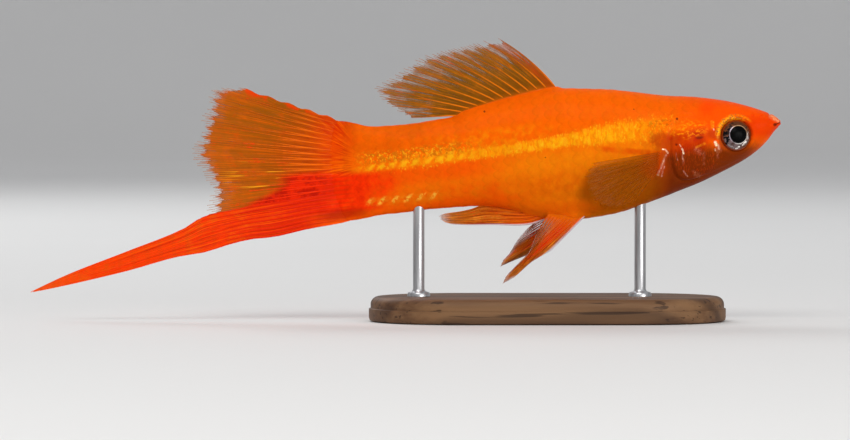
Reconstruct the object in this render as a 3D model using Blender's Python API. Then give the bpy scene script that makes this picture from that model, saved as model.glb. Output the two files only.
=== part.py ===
"""Life-size display model of a male red swordtail, held above a small wooden base by two steel rods.

Blender 4.5, metres, +Z up. The fish is modelled in its own frame, in millimetres: s runs back from the tip
of the snout, h runs up from the body's axis and y runs to the fish's left. One empty then pitches it head up
and lifts it over the base. The head points along +X, and the origin is on the floor under the model's middle.
"""
import math

import bmesh
import bpy
import numpy as np
from mathutils import Matrix, Vector
from mathutils.bvhtree import BVHTree

MM = 0.001
GAP = 0.3  # kept between pieces that touch
SHARP = math.radians(35)  # edges that turn by more are shaded sharp

# Places along the body
CAUDAL_BASE = 60.5  # the standard length, from the snout to the root of the tail fin
SWORD_TIP = 106.9
HEAD_END = 16.4
TRUNK_END = 38.4

# How the fish is held
PITCH = math.radians(6.44)
SNOUT_X = 52.5
SNOUT_HEIGHT = 27.9
SWAY_FROM = 38.0  # the tail bends gently to the left behind this place
SWAY_AT_TIP = 2.6

# Body profiles, each a few (s, value) points of the side and top outlines
BACK = ((0, 0.2), (0.45, 0.75), (1.5, 1.5), (4.7, 2.95), (9, 4.35), (15.6, 5.55), (24.5, 7.45), (30.5, 8.1),
        (36, 7.5), (41, 6.75), (46.5, 5.8), (53, 5.6), (56.5, 5.8), (60.5, 7.1))
BELLY = ((0, -0.25), (0.6, -0.95), (1.9, -2.3), (3.2, -3.4), (6.7, -5.25), (11.5, -7.0), (18.4, -8.9),
         (25, -10.25), (28, -10.4), (32, -9.85), (38, -8.2), (43, -7.0), (50, -6.7), (56, -6.7), (60.5, -7.0))
HALF_WIDTH = ((0, 0.95), (0.4, 1.5), (1.5, 2.2), (3, 2.8), (6, 3.6), (11, 4.3), (18, 4.7), (27.5, 4.45),
              (36, 3.55), (46, 2.55), (57, 1.5), (60.5, 1.15))
WIDEST_LEVEL = ((0, 0.0), (3, -0.5), (7, -1.1), (20, -1.1), (36, -0.2), (60.5, 0.0))
SQUARENESS_ABOVE = ((0, 2.2), (5, 2.6), (12, 2.4), (25, 2.05), (60.5, 2.0))
SQUARENESS_BELOW = ((0, 2.0), (8, 1.9), (25, 2.0), (60.5, 2.0))
BODY_SIDES = 36
HEAD_RADIUS = 5.4  # turns a length round the head or belly into an angle
BELLY_RADIUS = 6.0

# Head
LIP_HEIGHT = 0.14
LIP_REACH = 0.32
MOUTH_CORNER = (0.9, -0.28)
MOUTH_FRONT = (-0.7, 0.12)
MOUTH_GAPE = 0.3
EYE_S = 6.2
EYE_ANGLE = math.radians(91)
EYE_RADIUS = 2.15
EYE_DEPTH = 1.5
EYE_SUNK = 0.85
NOSTRIL_S = 2.5
NOSTRIL_ANGLE = math.radians(50)
NOSTRIL_RADIUS = 0.3
GILL_S = 12.1
GILL_ANGLE = math.radians(106)
GILL_HALF_LENGTH = 3.3
GILL_HALF_SPAN = math.radians(41)
GILL_FRONT_SHARE = 0.85  # the front edge is flatter than the free rear edge
GILL_SQUARENESS = 2.4
GILL_FLUSH = 0.03
GILL_LIFT = 0.24  # how far the free rear edge stands out of the skin
GILL_THICK = 0.45
GILL_EDGE_DROP = 0.08  # how far the cover's rim is rounded off
POCKET_TOP = 1.2  # the hollow's cutter ends this far outside the skin

# Fins: half thicknesses of the membrane, how far a ray stands out of it on each face, and the half width of a
# ray's ridge as a share of the space between two rays
MEMBRANE_HALF = 0.25
TIP_HALF = 0.17
RAY_RIDGE = 0.17
RAY_FOOT = 0.3

DORSAL_RAYS = 13
FAN_RAYS = 17
RAGGED_SEED = 7
FAN_ROOT_TOP = 6.8
FAN_FOOT = ((60.8, -2.75), (70, -3.1), (78, -3.6), (81.3, -3.95))  # the fan's lowest ray, next to the sword
SWORD_UPPER_EDGE = ((84.2, -5.4), (93, -7.85), (101.7, -10.15), (106.9, -11.85))
SWORD_LOWER_EDGE = ((60.8, -7.0), (67.5, -7.3), (76, -8.1), (84.6, -9.2), (93.3, -10.5), (101.8, -11.55),
                    (106.9, -12.05))

# Stand
BASE_LENGTH = 50.0
BASE_WIDTH = 26.0
BASE_HEIGHT = 3.5
BASE_CENTRE_X = 20.0
ROD_RADIUS = 0.8
FRONT_ROD_X = 33.0
REAR_ROD_X = 2.0

# Linear colours, roughness and metallic value
FINISHES = {
    "orange_skin": ((0.90, 0.16, 0.008), 0.35, 0.0),
    "gill_skin": ((0.62, 0.09, 0.008), 0.3, 0.0),
    "red_tail": ((0.85, 0.05, 0.004), 0.4, 0.0),
    "amber_fin": ((0.72, 0.22, 0.02), 0.4, 0.0),
    "clear_fin": ((0.85, 0.55, 0.30), 0.35, 0.0),
    "eye": ((0.03, 0.02, 0.015), 0.08, 0.0),
    "walnut": ((0.09, 0.045, 0.022), 0.45, 0.0),
    "steel": ((0.55, 0.55, 0.56), 0.3, 1.0),
}


def clear_scene():
    for obj in list(bpy.data.objects):
        bpy.data.objects.remove(obj)


def finish(name):
    """The material of that name, made when it is first asked for."""
    found = bpy.data.materials.get(name)
    if found:
        return found
    colour, roughness, metallic = FINISHES[name]
    made = bpy.data.materials.new(name)
    made.use_nodes = True
    shader = made.node_tree.nodes["Principled BSDF"]
    shader.inputs["Base Color"].default_value = (*colour, 1.0)
    shader.inputs["Roughness"].default_value = roughness
    shader.inputs["Metallic"].default_value = metallic
    made.diffuse_color = (*colour, 1.0)
    return made


def through(points):
    """A smooth curve through (place, value) points that doesn't overshoot them, as a function of the place."""
    places, values = np.array(points, float).T
    steps = np.diff(places)
    slopes = np.diff(values) / steps
    tangents = np.concatenate([slopes[:1], np.zeros(len(slopes) - 1), slopes[-1:]])
    for i in range(1, len(slopes)):
        before, after = slopes[i - 1], slopes[i]
        if before * after > 0:
            weight = (2 * steps[i] + steps[i - 1], steps[i] + 2 * steps[i - 1])
            tangents[i] = sum(weight) / (weight[0] / before + weight[1] / after)

    def at(place):
        place = np.clip(np.asarray(place, float), places[0], places[-1])
        i = np.clip(np.searchsorted(places, place, side="right") - 1, 0, len(steps) - 1)
        u = (place - places[i]) / steps[i]
        ends = values[i] * (1 + 2 * u) * (1 - u) ** 2 + values[i + 1] * (3 - 2 * u) * u**2
        leans = tangents[i] * u * (1 - u) ** 2 - tangents[i + 1] * (1 - u) * u**2
        return ends + leans * steps[i]

    return at


def path_through(points):
    """A smooth path through (share, s, h) points, as a function of the share along it."""
    share, s, h = zip(*points)
    along, up = through(tuple(zip(share, s))), through(tuple(zip(share, h)))
    return lambda u: np.stack([along(u), up(u)], axis=-1)


back, belly, half_width = through(BACK), through(BELLY), through(HALF_WIDTH)
widest_level = through(WIDEST_LEVEL)
squareness_above, squareness_below = through(SQUARENESS_ABOVE), through(SQUARENESS_BELOW)


def sway(s):
    """How far the tail has bent to the left at s."""
    behind = np.clip((np.asarray(s, float) - SWAY_FROM) / (SWORD_TIP - SWAY_FROM), 0, 1)
    return SWAY_AT_TIP * behind**2


def fish_point(s, y, h):
    """A point of the fish's frame as x, y, z in millimetres, before the fish is pitched."""
    s, y, h = np.broadcast_arrays(*(np.asarray(value, float) for value in (s, y, h)))
    return np.stack([-s, y + sway(s), h], axis=-1)


def bare_skin(s, angle):
    """The body's surface at s, angle radians round from the back by the left side to the belly."""
    s, angle = np.broadcast_arrays(np.asarray(s, float), np.asarray(angle, float))
    level = widest_level(s)
    across, up = np.sin(angle), np.cos(angle)
    squareness = np.where(up > 0, squareness_above(s), squareness_below(s))
    reach = np.where(up > 0, back(s) - level, level - belly(s))
    y = half_width(s) * np.sign(across) * np.abs(across) ** (2 / squareness)
    return fish_point(s, y, level + reach * np.sign(up) * np.abs(up) ** (2 / squareness))


def skin_normal(s, angle):
    step = 1e-3
    along = bare_skin(s + step, angle) - bare_skin(s - step, angle)
    around = bare_skin(s, angle + step) - bare_skin(s, angle - step)
    normal = np.cross(around, along)
    return normal / np.linalg.norm(normal, axis=-1, keepdims=True)


def skin_point(s, angle, out=0.0):
    """The body's surface, moved out along its normal."""
    return bare_skin(s, angle) + np.asarray(out, float)[..., None] * skin_normal(s, angle)


def add_mesh(name, points, faces, material):
    """A mesh object from points in millimetres, its faces turned outwards."""
    mesh = bpy.data.meshes.new(name)
    mesh.from_pydata((np.asarray(points, float).reshape(-1, 3) * MM).tolist(), [], faces)
    shape = bmesh.new()
    shape.from_mesh(mesh)
    bmesh.ops.recalc_face_normals(shape, faces=shape.faces)
    shape.to_mesh(mesh)
    shape.free()
    mesh.shade_smooth()
    mesh.set_sharp_from_angle(angle=SHARP)
    mesh.materials.append(finish(material))
    obj = bpy.data.objects.new(name, mesh)
    bpy.context.scene.collection.objects.link(obj)
    return obj


def loft(name, rings, material):
    """A closed solid from rings of points, with a flat cap on each end."""
    count, sides = rings.shape[:2]
    faces = [
        (r * sides + i, r * sides + (i + 1) % sides, (r + 1) * sides + (i + 1) % sides, (r + 1) * sides + i)
        for r in range(count - 1)
        for i in range(sides)
    ]
    faces += [tuple(range(sides)), tuple((count - 1) * sides + i for i in range(sides))]
    return add_mesh(name, rings, faces, material)


def sheet(name, front, rear, material):
    """A thin closed solid between two grids of points, split into triangles alike on both faces."""
    rows, columns = front.shape[:2]
    size = rows * columns
    faces = []
    for r in range(rows - 1):
        for c in range(columns - 1):
            a, b = r * columns + c, r * columns + c + 1
            d, e = a + columns, b + columns
            for triangle in ((a, b, e), (a, e, d)):
                faces += [triangle, tuple(size + i for i in reversed(triangle))]
    rim = list(range(columns))
    rim += [r * columns + columns - 1 for r in range(1, rows)]
    rim += [(rows - 1) * columns + c for c in range(columns - 2, -1, -1)]
    rim += [r * columns for r in range(rows - 2, 0, -1)]
    for here, there in zip(rim, rim[1:] + rim[:1]):
        faces += [(here, there, size + there), (here, size + there, size + here)]
    return add_mesh(name, np.concatenate([front.reshape(-1, 3), rear.reshape(-1, 3)]), faces, material)


def body_length(name, start, end, places, material):
    """A length of the body between two flat ends."""
    s = np.array([start, *(p for p in places if start < p < end), end])
    angles = np.arange(BODY_SIDES) * 2 * np.pi / BODY_SIDES
    return loft(name, bare_skin(s[:, None], angles[None]), material)


def lip_swell(points):
    """How far the lips stand out at each point of the head."""
    s, h = -points[..., 0], points[..., 2]
    slope = (MOUTH_CORNER[1] - MOUTH_FRONT[1]) / (MOUTH_CORNER[0] - MOUTH_FRONT[0])
    off_line = h - (MOUTH_FRONT[1] + slope * (s - MOUTH_FRONT[0]))
    past_corner = np.clip(s - MOUTH_CORNER[0], 0, None)
    return LIP_HEIGHT * np.exp(-(off_line / LIP_REACH) ** 2 - (past_corner / LIP_REACH) ** 2)


def mouth_cutter():
    """A wedge that narrows to the corners of the mouth."""
    width = 4.0
    outline = (
        (MOUTH_FRONT[0], MOUTH_FRONT[1] + MOUTH_GAPE / 2),
        (MOUTH_CORNER[0], MOUTH_CORNER[1] + MOUTH_GAPE / 4),
        (MOUTH_CORNER[0], MOUTH_CORNER[1] - MOUTH_GAPE / 4),
        (MOUTH_FRONT[0], MOUTH_FRONT[1] - MOUTH_GAPE / 2),
    )
    rings = np.array([[fish_point(s, y, h) for s, h in outline] for y in (-width, width)])
    return loft("mouth_cutter", rings, "gill_skin")


def ellipsoid(name, centre, axis, radius, depth, material, segments=24, rings=12):
    """A flattened ball whose short axis points along axis."""
    shape = bmesh.new()
    bmesh.ops.create_uvsphere(shape, u_segments=segments, v_segments=rings, radius=1)
    turn = Vector(axis).to_track_quat("Z", "Y").to_matrix().to_4x4()
    place = Matrix.Translation(Vector(centre)) @ turn @ Matrix.Diagonal((radius, radius, depth, 1))
    bmesh.ops.transform(shape, matrix=Matrix.Scale(MM, 4) @ place, verts=shape.verts)
    mesh = bpy.data.meshes.new(name)
    shape.to_mesh(mesh)
    shape.free()
    mesh.shade_smooth()
    mesh.materials.append(finish(material))
    obj = bpy.data.objects.new(name, mesh)
    bpy.context.scene.collection.objects.link(obj)
    return obj


def eyeball(name, side, grown=0.0):
    """An eye, or with grown the hollow that it sits in. side is 1 on the left and -1 on the right."""
    angle = side * EYE_ANGLE
    centre = skin_point(EYE_S, angle, -EYE_SUNK)
    return ellipsoid(name, centre, skin_normal(EYE_S, angle), EYE_RADIUS + grown, EYE_DEPTH + grown, "eye")


def gill_plate(name, side, grown=0.0, spokes=28, rings=4):
    """The bony cover over the gills, flush at its front and lifted at its free rear edge. With grown it is the
    hollow that the cover sits in."""
    turn = np.arange(spokes) * 2 * np.pi / spokes
    along = np.sign(np.cos(turn)) * np.abs(np.cos(turn)) ** (2 / GILL_SQUARENESS)
    around = np.sign(np.sin(turn)) * np.abs(np.sin(turn)) ** (2 / GILL_SQUARENESS)
    along = np.where(along < 0, GILL_FRONT_SHARE * along, along)
    share = (np.arange(1, rings + 1) / rings)[:, None]
    s = GILL_S + (GILL_HALF_LENGTH * share + grown * share) * along
    angle = side * (GILL_ANGLE + (GILL_HALF_SPAN + grown / HEAD_RADIUS) * share * around)
    lift = GILL_FLUSH + (GILL_LIFT - GILL_FLUSH) * np.clip(along * share, 0, 1)
    low = -GILL_THICK
    if grown:
        lift, low = POCKET_TOP + 0 * s, low - GAP
    middle = [skin_point(GILL_S, side * GILL_ANGLE, out) for out in (lift[0].mean(), low)]
    outer = skin_point(s, angle, lift - GILL_EDGE_DROP * share**6)
    inner = skin_point(s, angle, low + 0 * s)
    points = np.concatenate([[middle[0]], outer.reshape(-1, 3), [middle[1]], inner.reshape(-1, 3)])
    half = 1 + rings * spokes
    faces = []
    for start in (0, half):
        for i in range(spokes):
            j = (i + 1) % spokes
            faces.append((start, start + 1 + i, start + 1 + j))
            for r in range(rings - 1):
                a, b = start + 1 + r * spokes + i, start + 1 + r * spokes + j
                faces += [(a, a + spokes, b + spokes), (a, b + spokes, b)]
    rim = 1 + (rings - 1) * spokes
    for i in range(spokes):
        j = (i + 1) % spokes
        faces += [(rim + i, rim + j, half + rim + j), (rim + i, half + rim + j, half + rim + i)]
    return add_mesh(name, points, faces, "gill_skin")


def cut_away(obj, cutters):
    """Takes the cutters out of obj, and removes them."""
    group = bpy.data.collections.new(obj.name + "_cutters")
    bpy.context.scene.collection.children.link(group)
    for cutter in cutters:
        bpy.context.scene.collection.objects.unlink(cutter)
        group.objects.link(cutter)
    boolean = obj.modifiers.new("openings", "BOOLEAN")
    boolean.operation = "DIFFERENCE"
    boolean.operand_type = "COLLECTION"
    boolean.collection = group
    whole = obj.data
    obj.data = bpy.data.meshes.new_from_object(obj.evaluated_get(bpy.context.evaluated_depsgraph_get()))
    obj.modifiers.remove(boolean)
    bpy.data.meshes.remove(whole)
    for cutter in cutters:
        bpy.data.objects.remove(cutter)
    bpy.data.collections.remove(group)
    obj.data.name = obj.name
    obj.data.set_sharp_from_angle(angle=SHARP)


def make_head():
    """The head with lips, mouth, nostrils, eye sockets and the hollows under the gill covers."""
    near_snout = (0.12, 0.3, 0.5, 0.72, 0.95, 1.2, 1.5, 1.9, 2.4, 3.0)
    s = np.array([0, *near_snout, *np.arange(3.8, HEAD_END - 0.5, 0.85), HEAD_END - GAP / 2])
    angles = np.arange(BODY_SIDES) * 2 * np.pi / BODY_SIDES
    s, angles = np.meshgrid(s, angles, indexing="ij")
    rings = bare_skin(s, angles)
    swell = lip_swell(rings)
    rings[1:] = skin_point(s[1:], angles[1:], swell[1:])
    head = loft("head", rings, "orange_skin")
    cutters = [mouth_cutter()]
    for word, side in (("left", 1), ("right", -1)):
        cutters.append(eyeball("socket_" + word, side, grown=GAP))
        cutters.append(gill_plate("gill_pocket_" + word, side, grown=GAP + 0.05))
        nostril = skin_point(NOSTRIL_S, side * NOSTRIL_ANGLE)
        facing = skin_normal(NOSTRIL_S, side * NOSTRIL_ANGLE)
        cutters.append(ellipsoid("nostril_" + word, nostril, facing, NOSTRIL_RADIUS, 0.5, "gill_skin", 10, 6))
    cut_away(head, cutters)
    return head


def ray_columns(rays):
    """The shares across a fin of its grid's columns, and which are a ray's crest. Each ray's ridge has a foot
    on either side, with plain membrane up to the next ray's."""
    crest = np.arange(rays) / (rays - 1)
    foot = RAY_FOOT / (rays - 1)
    across = np.sort(np.concatenate([crest, crest[:-1] + foot, crest[1:] - foot]))
    return across, np.arange(len(across)) % 3 == 0


def ray_ends(start, end, on_crest, notch):
    """The grid's far edge, where the membrane stops short of the ray tips by a share of about notch."""
    ragged = np.random.default_rng(RAGGED_SEED).uniform(0.7, 1.3, len(end))
    return end - (notch * ragged * ~on_crest)[:, None] * (end - start)


def fin_halves(rows, on_crest, root_half, root_share=0.22):
    """Half the fin's thickness at each point of its grid: a firm root, then membrane with raised rays."""
    u = np.linspace(0, 1, rows)[:, None]
    near_root = np.clip(1 - u / root_share, 0, 1) ** 2
    plain = MEMBRANE_HALF + (root_half - MEMBRANE_HALF) * near_root
    plain = plain - (MEMBRANE_HALF - TIP_HALF) * np.clip((u - 0.8) / 0.2, 0, 1)
    return plain + RAY_RIDGE * on_crest * np.clip(u / root_share, 0, 1) * (1 - 0.6 * u)


def upright_fin(name, middle, half, material):
    """A fin on the fish's middle plane, from its grid of (s, h) points and of half thicknesses."""
    front = fish_point(middle[..., 0], half, middle[..., 1])
    rear = fish_point(middle[..., 0], -half, middle[..., 1])
    return sheet(name, front, rear, material)


def rayed_fin(name, root, tip, rays, rows, material, root_half, bow, notch):
    """A fan of rays on the fish's middle plane. root and tip are paths of (s, h) that give each ray's two ends,
    and bow gives how far the first and the last ray bend forwards, as shares of their length."""
    across, on_crest = ray_columns(rays)
    start = root(across)
    end = ray_ends(start, tip(across), on_crest, notch)
    chord = end - start
    forwards = np.stack([-chord[:, 1], chord[:, 0]], axis=-1) * (bow[0] + (bow[1] - bow[0]) * across)[:, None]
    u = np.linspace(0, 1, rows)[:, None, None]
    middle = start + u * chord + 4 * u * (1 - u) * forwards
    return upright_fin(name, middle, fin_halves(rows, on_crest, root_half), material)


def make_dorsal_fin():
    first, last = 30.4, 44.2

    def root(share):
        s = first + (last - first) * share
        return np.stack([s, back(s) + GAP], axis=-1)

    tip = path_through(((0, 37.9, 16.0), (0.24, 43.6, 15.35), (0.46, 48.3, 14.85), (0.66, 52.7, 13.0),
                        (0.84, 55.9, 10.8), (0.94, 54.2, 8.6), (1, 51.2, 6.4)))
    return rayed_fin("dorsal_fin", root, tip, DORSAL_RAYS, 8, "amber_fin", root_half=0.42, bow=(0.05, 0.0), notch=0.09)


def make_tail_fan():
    """The rounded upper part of the tail fin. Its lowest ray runs close above the sword."""
    root_s, root_foot = FAN_FOOT[0]

    def root(share):
        return np.stack([root_s + 0 * share, FAN_ROOT_TOP + (root_foot - FAN_ROOT_TOP) * share], axis=-1)

    tip = path_through(((0, 74.9, 13.4), (0.1, 78.2, 13.2), (0.32, 79.8, 9.6), (0.56, 81.8, 4.8),
                        (0.7, 80.7, 2.1), (0.85, 80.1, -1.0), (1, *FAN_FOOT[-1])))
    return rayed_fin("tail_fan", root, tip, FAN_RAYS, 9, "amber_fin", root_half=0.85, bow=(0.0, 0.0), notch=0.05)


def make_sword():
    """The long lower rays of the tail fin."""
    top = through(tuple((s, h - GAP) for s, h in FAN_FOOT) + SWORD_UPPER_EDGE)
    foot = through(SWORD_LOWER_EDGE)
    rows = 19
    across, on_crest = ray_columns(5)
    s = np.linspace(FAN_FOOT[0][0], SWORD_TIP, rows)[:, None]
    middle = np.stack(np.broadcast_arrays(s, top(s) + (foot(s) - top(s)) * across), axis=-1)
    return upright_fin("sword", middle, fin_halves(rows, on_crest, root_half=0.75, root_share=0.12), "red_tail")


def make_anal_fin():
    """The male's narrow anal fin, folded back under the belly."""
    first, last = 33.2, 36.6
    lower = path_through(((0, first, -9.88), (0.2, 36.5, -10.22), (0.5, 41.2, -9.7), (0.82, 46.3, -9.18),
                          (1, 48.8, -8.1)))
    upper = path_through(((0, last, -8.95), (0.2, 38.6, -8.5), (0.5, 42.2, -7.6), (0.82, 46.4, -7.4),
                          (1, 48.7, -7.6)))
    rows = 9
    across, on_crest = ray_columns(4)
    u = np.linspace(0, 1, rows)[:, None]
    middle = lower(u) + (upper(u) - lower(u)) * across[:, None]
    root_s = first + (last - first) * across
    middle[0] = np.stack([root_s, belly(root_s) - GAP], axis=-1)
    return upright_fin("anal_fin", middle, fin_halves(rows, on_crest, root_half=0.5, root_share=0.15), "red_tail")


def paired_fin(name, side, root_s, root_angle, tips, rays, rows, material, root_half, cup):
    """A fin on one flank. root_s and root_angle give the ends of its root on the skin, and tips is a path of
    (s, h, y) of the ray ends as share, s, h, y. cup bends the rays out by that share of their length."""
    across, on_crest = ray_columns(rays)
    share, tip_s, tip_h, tip_y = zip(*tips)
    ends = [through(tuple(zip(share, values)))(across) for values in (tip_s, tip_y, tip_h)]
    end = fish_point(ends[0], side * ends[1], ends[2])
    s0 = root_s[0] + (root_s[1] - root_s[0]) * across
    angle0 = side * (root_angle[0] + (root_angle[1] - root_angle[0]) * across)
    start = skin_point(s0, angle0, GAP + 0 * s0)
    end = ray_ends(start, end, on_crest, 0.08)
    u = np.linspace(0, 1, rows)[:, None, None]
    length = np.linalg.norm(end - start, axis=-1, keepdims=True)
    outwards = np.array([0.0, side, 0.0])
    middle = start + u * (end - start) + cup * 4 * u * (1 - u) * length * outwards
    along = np.gradient(middle, axis=0)
    over = np.gradient(middle, axis=1)
    normal = np.cross(over, along) * side
    normal /= np.linalg.norm(normal, axis=-1, keepdims=True)
    half = fin_halves(rows, on_crest, root_half)[..., None]
    front, rear = middle + half * normal, middle - half * normal
    # The root's two edges both lie on the skin, so that its end faces the skin.
    for grid, sign in ((front, 1), (rear, -1)):
        step = sign * normal[0] * root_half
        s_edge = s0 - step[:, 0]
        turn = step[:, 2] / BELLY_RADIUS
        grid[0] = skin_point(s_edge, angle0 - side * turn, GAP + 0 * s0)
    return sheet(name, front, rear, material)


def make_pectoral_fin(word, side):
    tips = ((0, 27.2, -2.6, 9.4), (0.2, 28.6, -4.6, 9.9), (0.5, 27.9, -7.6, 10.0), (0.8, 25.0, -9.3, 9.2),
            (1, 22.0, -8.9, 8.0))
    angles = (math.radians(99), math.radians(119))
    return paired_fin("pectoral_fin_" + word, side, (17.1, 17.9), angles, tips, 9, 7, "clear_fin", 0.4, 0.05)


def make_pelvic_fin(word, side, drop):
    """A pelvic fin, its tip lowered by drop."""
    tips = ((0, 40.9, -15.6 - drop, 3.0), (0.3, 39.9, -14.4 - 1.05 * drop, 3.2),
            (0.65, 38.4 - 0.3 * drop, -12.4 - 1.05 * drop, 3.4), (1, 36.8 - 0.35 * drop, -11.1 - 0.4 * drop, 3.4))
    angles = (math.radians(161), math.radians(160))
    return paired_fin("pelvic_fin_" + word, side, (28.7, 32.9), angles, tips, 6, 7, "red_tail", 0.32, 0.0)


def make_base():
    """A flat board with round ends and a softened top edge."""
    end_radius = BASE_WIDTH / 2
    straight = BASE_LENGTH / 2 - end_radius
    turn = np.radians(np.arange(-90, 91, 10))
    right = [(straight + end_radius * math.cos(a), end_radius * math.sin(a)) for a in turn]
    outline = right + [(-x, -y) for x, y in right]
    # (share of the height, how far the edge is drawn in)
    steps = ((0, 0.4), (0.12, 0.0), (0.72, 0.0), (0.9, 0.35), (1, 1.0))
    rings = []
    for level, inset in steps:
        scale = 1 - inset / end_radius
        ring = []
        for x, y in outline:
            middle_x = math.copysign(straight, x)
            ring.append((BASE_CENTRE_X + middle_x + (x - middle_x) * scale, y * scale, BASE_HEIGHT * level))
        rings.append(ring)
    return loft("stand_base", np.array(rings), "walnut")


def make_rod(name, x, carried):
    """A rod from just above the base to just under the carried piece, its top cut to that piece's underside."""
    graph = bpy.context.evaluated_depsgraph_get()
    seen = carried.evaluated_get(graph)
    mesh = seen.to_mesh()
    points = [carried.matrix_world @ v.co for v in mesh.vertices]
    tree = BVHTree.FromPolygons(points, [tuple(p.vertices) for p in mesh.polygons])
    seen.to_mesh_clear()
    sides = 16
    foot, top = [], []
    for i in range(sides):
        turn = 2 * math.pi * i / sides
        px, py = x + ROD_RADIUS * math.cos(turn), ROD_RADIUS * math.sin(turn)
        hit = tree.ray_cast(Vector((px, py, 0)) * MM, Vector((0, 0, 1)))[0]
        foot.append((px, py, BASE_HEIGHT + GAP))
        top.append((px, py, hit.z / MM - GAP))
    return loft(name, np.array([foot, top]), "steel")


def hold_fish(pieces):
    """Pitches the fish head up and lifts it over the base."""
    pose = bpy.data.objects.new("fish_pose", None)
    bpy.context.scene.collection.objects.link(pose)
    pose.location = (SNOUT_X * MM, 0, SNOUT_HEIGHT * MM)
    pose.rotation_euler = (0, -PITCH, 0)
    for piece in pieces:
        piece.parent = pose
    bpy.context.view_layer.update()


def main():
    clear_scene()
    head = make_head()
    trunk_places = np.linspace(HEAD_END, TRUNK_END, 15)
    trunk = body_length("trunk", HEAD_END + GAP / 2, TRUNK_END - GAP / 2, trunk_places[1:-1], "orange_skin")
    stalk_places = np.linspace(TRUNK_END, CAUDAL_BASE, 14)
    stalk = body_length("tail_stalk", TRUNK_END + GAP / 2, CAUDAL_BASE, stalk_places[1:-1], "orange_skin")
    fish = [head, trunk, stalk, make_dorsal_fin(), make_tail_fan(), make_sword(), make_anal_fin()]
    for word, side, drop in (("left", 1, 0.0), ("right", -1, 2.3)):
        fish.append(eyeball("eye_" + word, side))
        fish.append(gill_plate("gill_cover_" + word, side))
        fish.append(make_pectoral_fin(word, side))
        fish.append(make_pelvic_fin(word, side, drop))
    hold_fish(fish)
    make_base()
    make_rod("stand_rod_front", FRONT_ROD_X, trunk)
    make_rod("stand_rod_rear", REAR_ROD_X, stalk)


main()
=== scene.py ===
"""Looks of a life-size male red swordtail on its display stand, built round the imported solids.

The fish has its own frame, in millimetres: s runs back from the tip of the snout, h runs up from the body's
axis and y runs to the fish's left. Shapes are worked out there and then placed in the row frame, in metres.
"""
import math

import bmesh
import bpy
import numpy as np
from bpy.props import FloatProperty, FloatVectorProperty, IntProperty, PointerProperty
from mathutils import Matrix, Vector


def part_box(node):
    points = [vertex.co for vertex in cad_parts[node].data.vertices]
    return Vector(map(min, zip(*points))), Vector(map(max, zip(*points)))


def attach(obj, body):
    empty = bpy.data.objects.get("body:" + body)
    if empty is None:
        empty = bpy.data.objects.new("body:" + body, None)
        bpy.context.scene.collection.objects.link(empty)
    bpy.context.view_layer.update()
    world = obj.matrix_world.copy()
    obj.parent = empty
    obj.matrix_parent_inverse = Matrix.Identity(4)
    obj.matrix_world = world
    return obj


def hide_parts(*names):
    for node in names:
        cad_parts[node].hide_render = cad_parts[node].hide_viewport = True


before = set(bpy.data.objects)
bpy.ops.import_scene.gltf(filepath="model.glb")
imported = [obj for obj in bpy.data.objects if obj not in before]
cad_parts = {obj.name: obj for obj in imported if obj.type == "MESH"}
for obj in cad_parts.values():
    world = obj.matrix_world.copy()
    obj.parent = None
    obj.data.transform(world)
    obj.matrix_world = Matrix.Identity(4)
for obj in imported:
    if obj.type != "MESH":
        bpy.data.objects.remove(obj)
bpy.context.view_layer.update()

bl_info = {
    "name": "Swordtail display model",
    "version": (1, 0, 0),
    "blender": (4, 5, 0),
    "location": "3D View > Sidebar > Swordtail",
    "description": "Skin, scales, eyes, rayed fins and stand of a life-size male swordtail",
    "category": "Object",
}

MM = 0.001

# How the fish is held, as in the solids
PITCH = math.radians(6.44)
SNOUT = (0.0525, 0.0, 0.0279)
SWAY_FROM = 38.0
SWAY_AT_TIP = 2.6
SWORD_TIP = 106.9
SKIN_END = 63.2

# Body profiles: (s, value) points of the side and top outlines
BACK = ((0, 0.34), (0.2, 0.6), (0.5, 0.86), (1.5, 1.52), (4.7, 2.95), (9, 4.35), (15.6, 5.55), (24.5, 7.45),
        (30.5, 8.1), (36, 7.5), (41, 6.75), (46.5, 5.8), (53, 5.6), (56.5, 5.8), (60.5, 6.95), (63.2, 7.35))
BELLY = ((0, -0.4), (0.3, -0.74), (0.75, -1.1), (1.9, -2.32), (3.2, -3.4), (6.7, -5.25), (11.5, -7.0),
         (18.4, -8.9), (25, -10.25), (28, -10.4), (32, -9.85), (38, -8.2), (43, -7.0), (50, -6.7), (56, -6.7),
         (60.5, -7.0), (63.2, -7.05))
HALF_WIDTH = ((0, 0.9), (0.3, 1.35), (1.5, 2.2), (3, 2.8), (6, 3.6), (11, 4.3), (18, 4.7), (27.5, 4.45),
              (36, 3.55), (46, 2.55), (57, 1.5), (60.5, 0.8), (62.2, 0.3), (63.2, 0.06))
WIDEST_LEVEL = ((0, 0.0), (3, -0.5), (7, -1.1), (20, -1.1), (36, -0.2), (60.5, 0.0))
SQUARENESS_ABOVE = ((0, 2.2), (5, 2.6), (12, 2.4), (25, 2.05), (60.5, 2.0))
SQUARENESS_BELOW = ((0, 2.0), (8, 1.9), (25, 2.0), (60.5, 2.0))

# Where the scales begin, as (angle round from the back, s) points
SCALES_FROM = ((0, 8.6), (0.7, 9.5), (1.1, 12.5), (1.35, 15.9), (1.9, 16.4), (2.5, 15.6), (3.15, 13.0))

# Places on the head
MOUTH_CORNER = (0.9, -0.28)
MOUTH_FRONT = (-0.7, 0.12)
EYE_S = 6.35
EYE_ANGLE = math.radians(91)
GILL_S = 12.1
GILL_ANGLE = math.radians(106)
GILL_HALF_LENGTH = 3.6
GILL_HALF_SPAN = math.radians(43)

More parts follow.
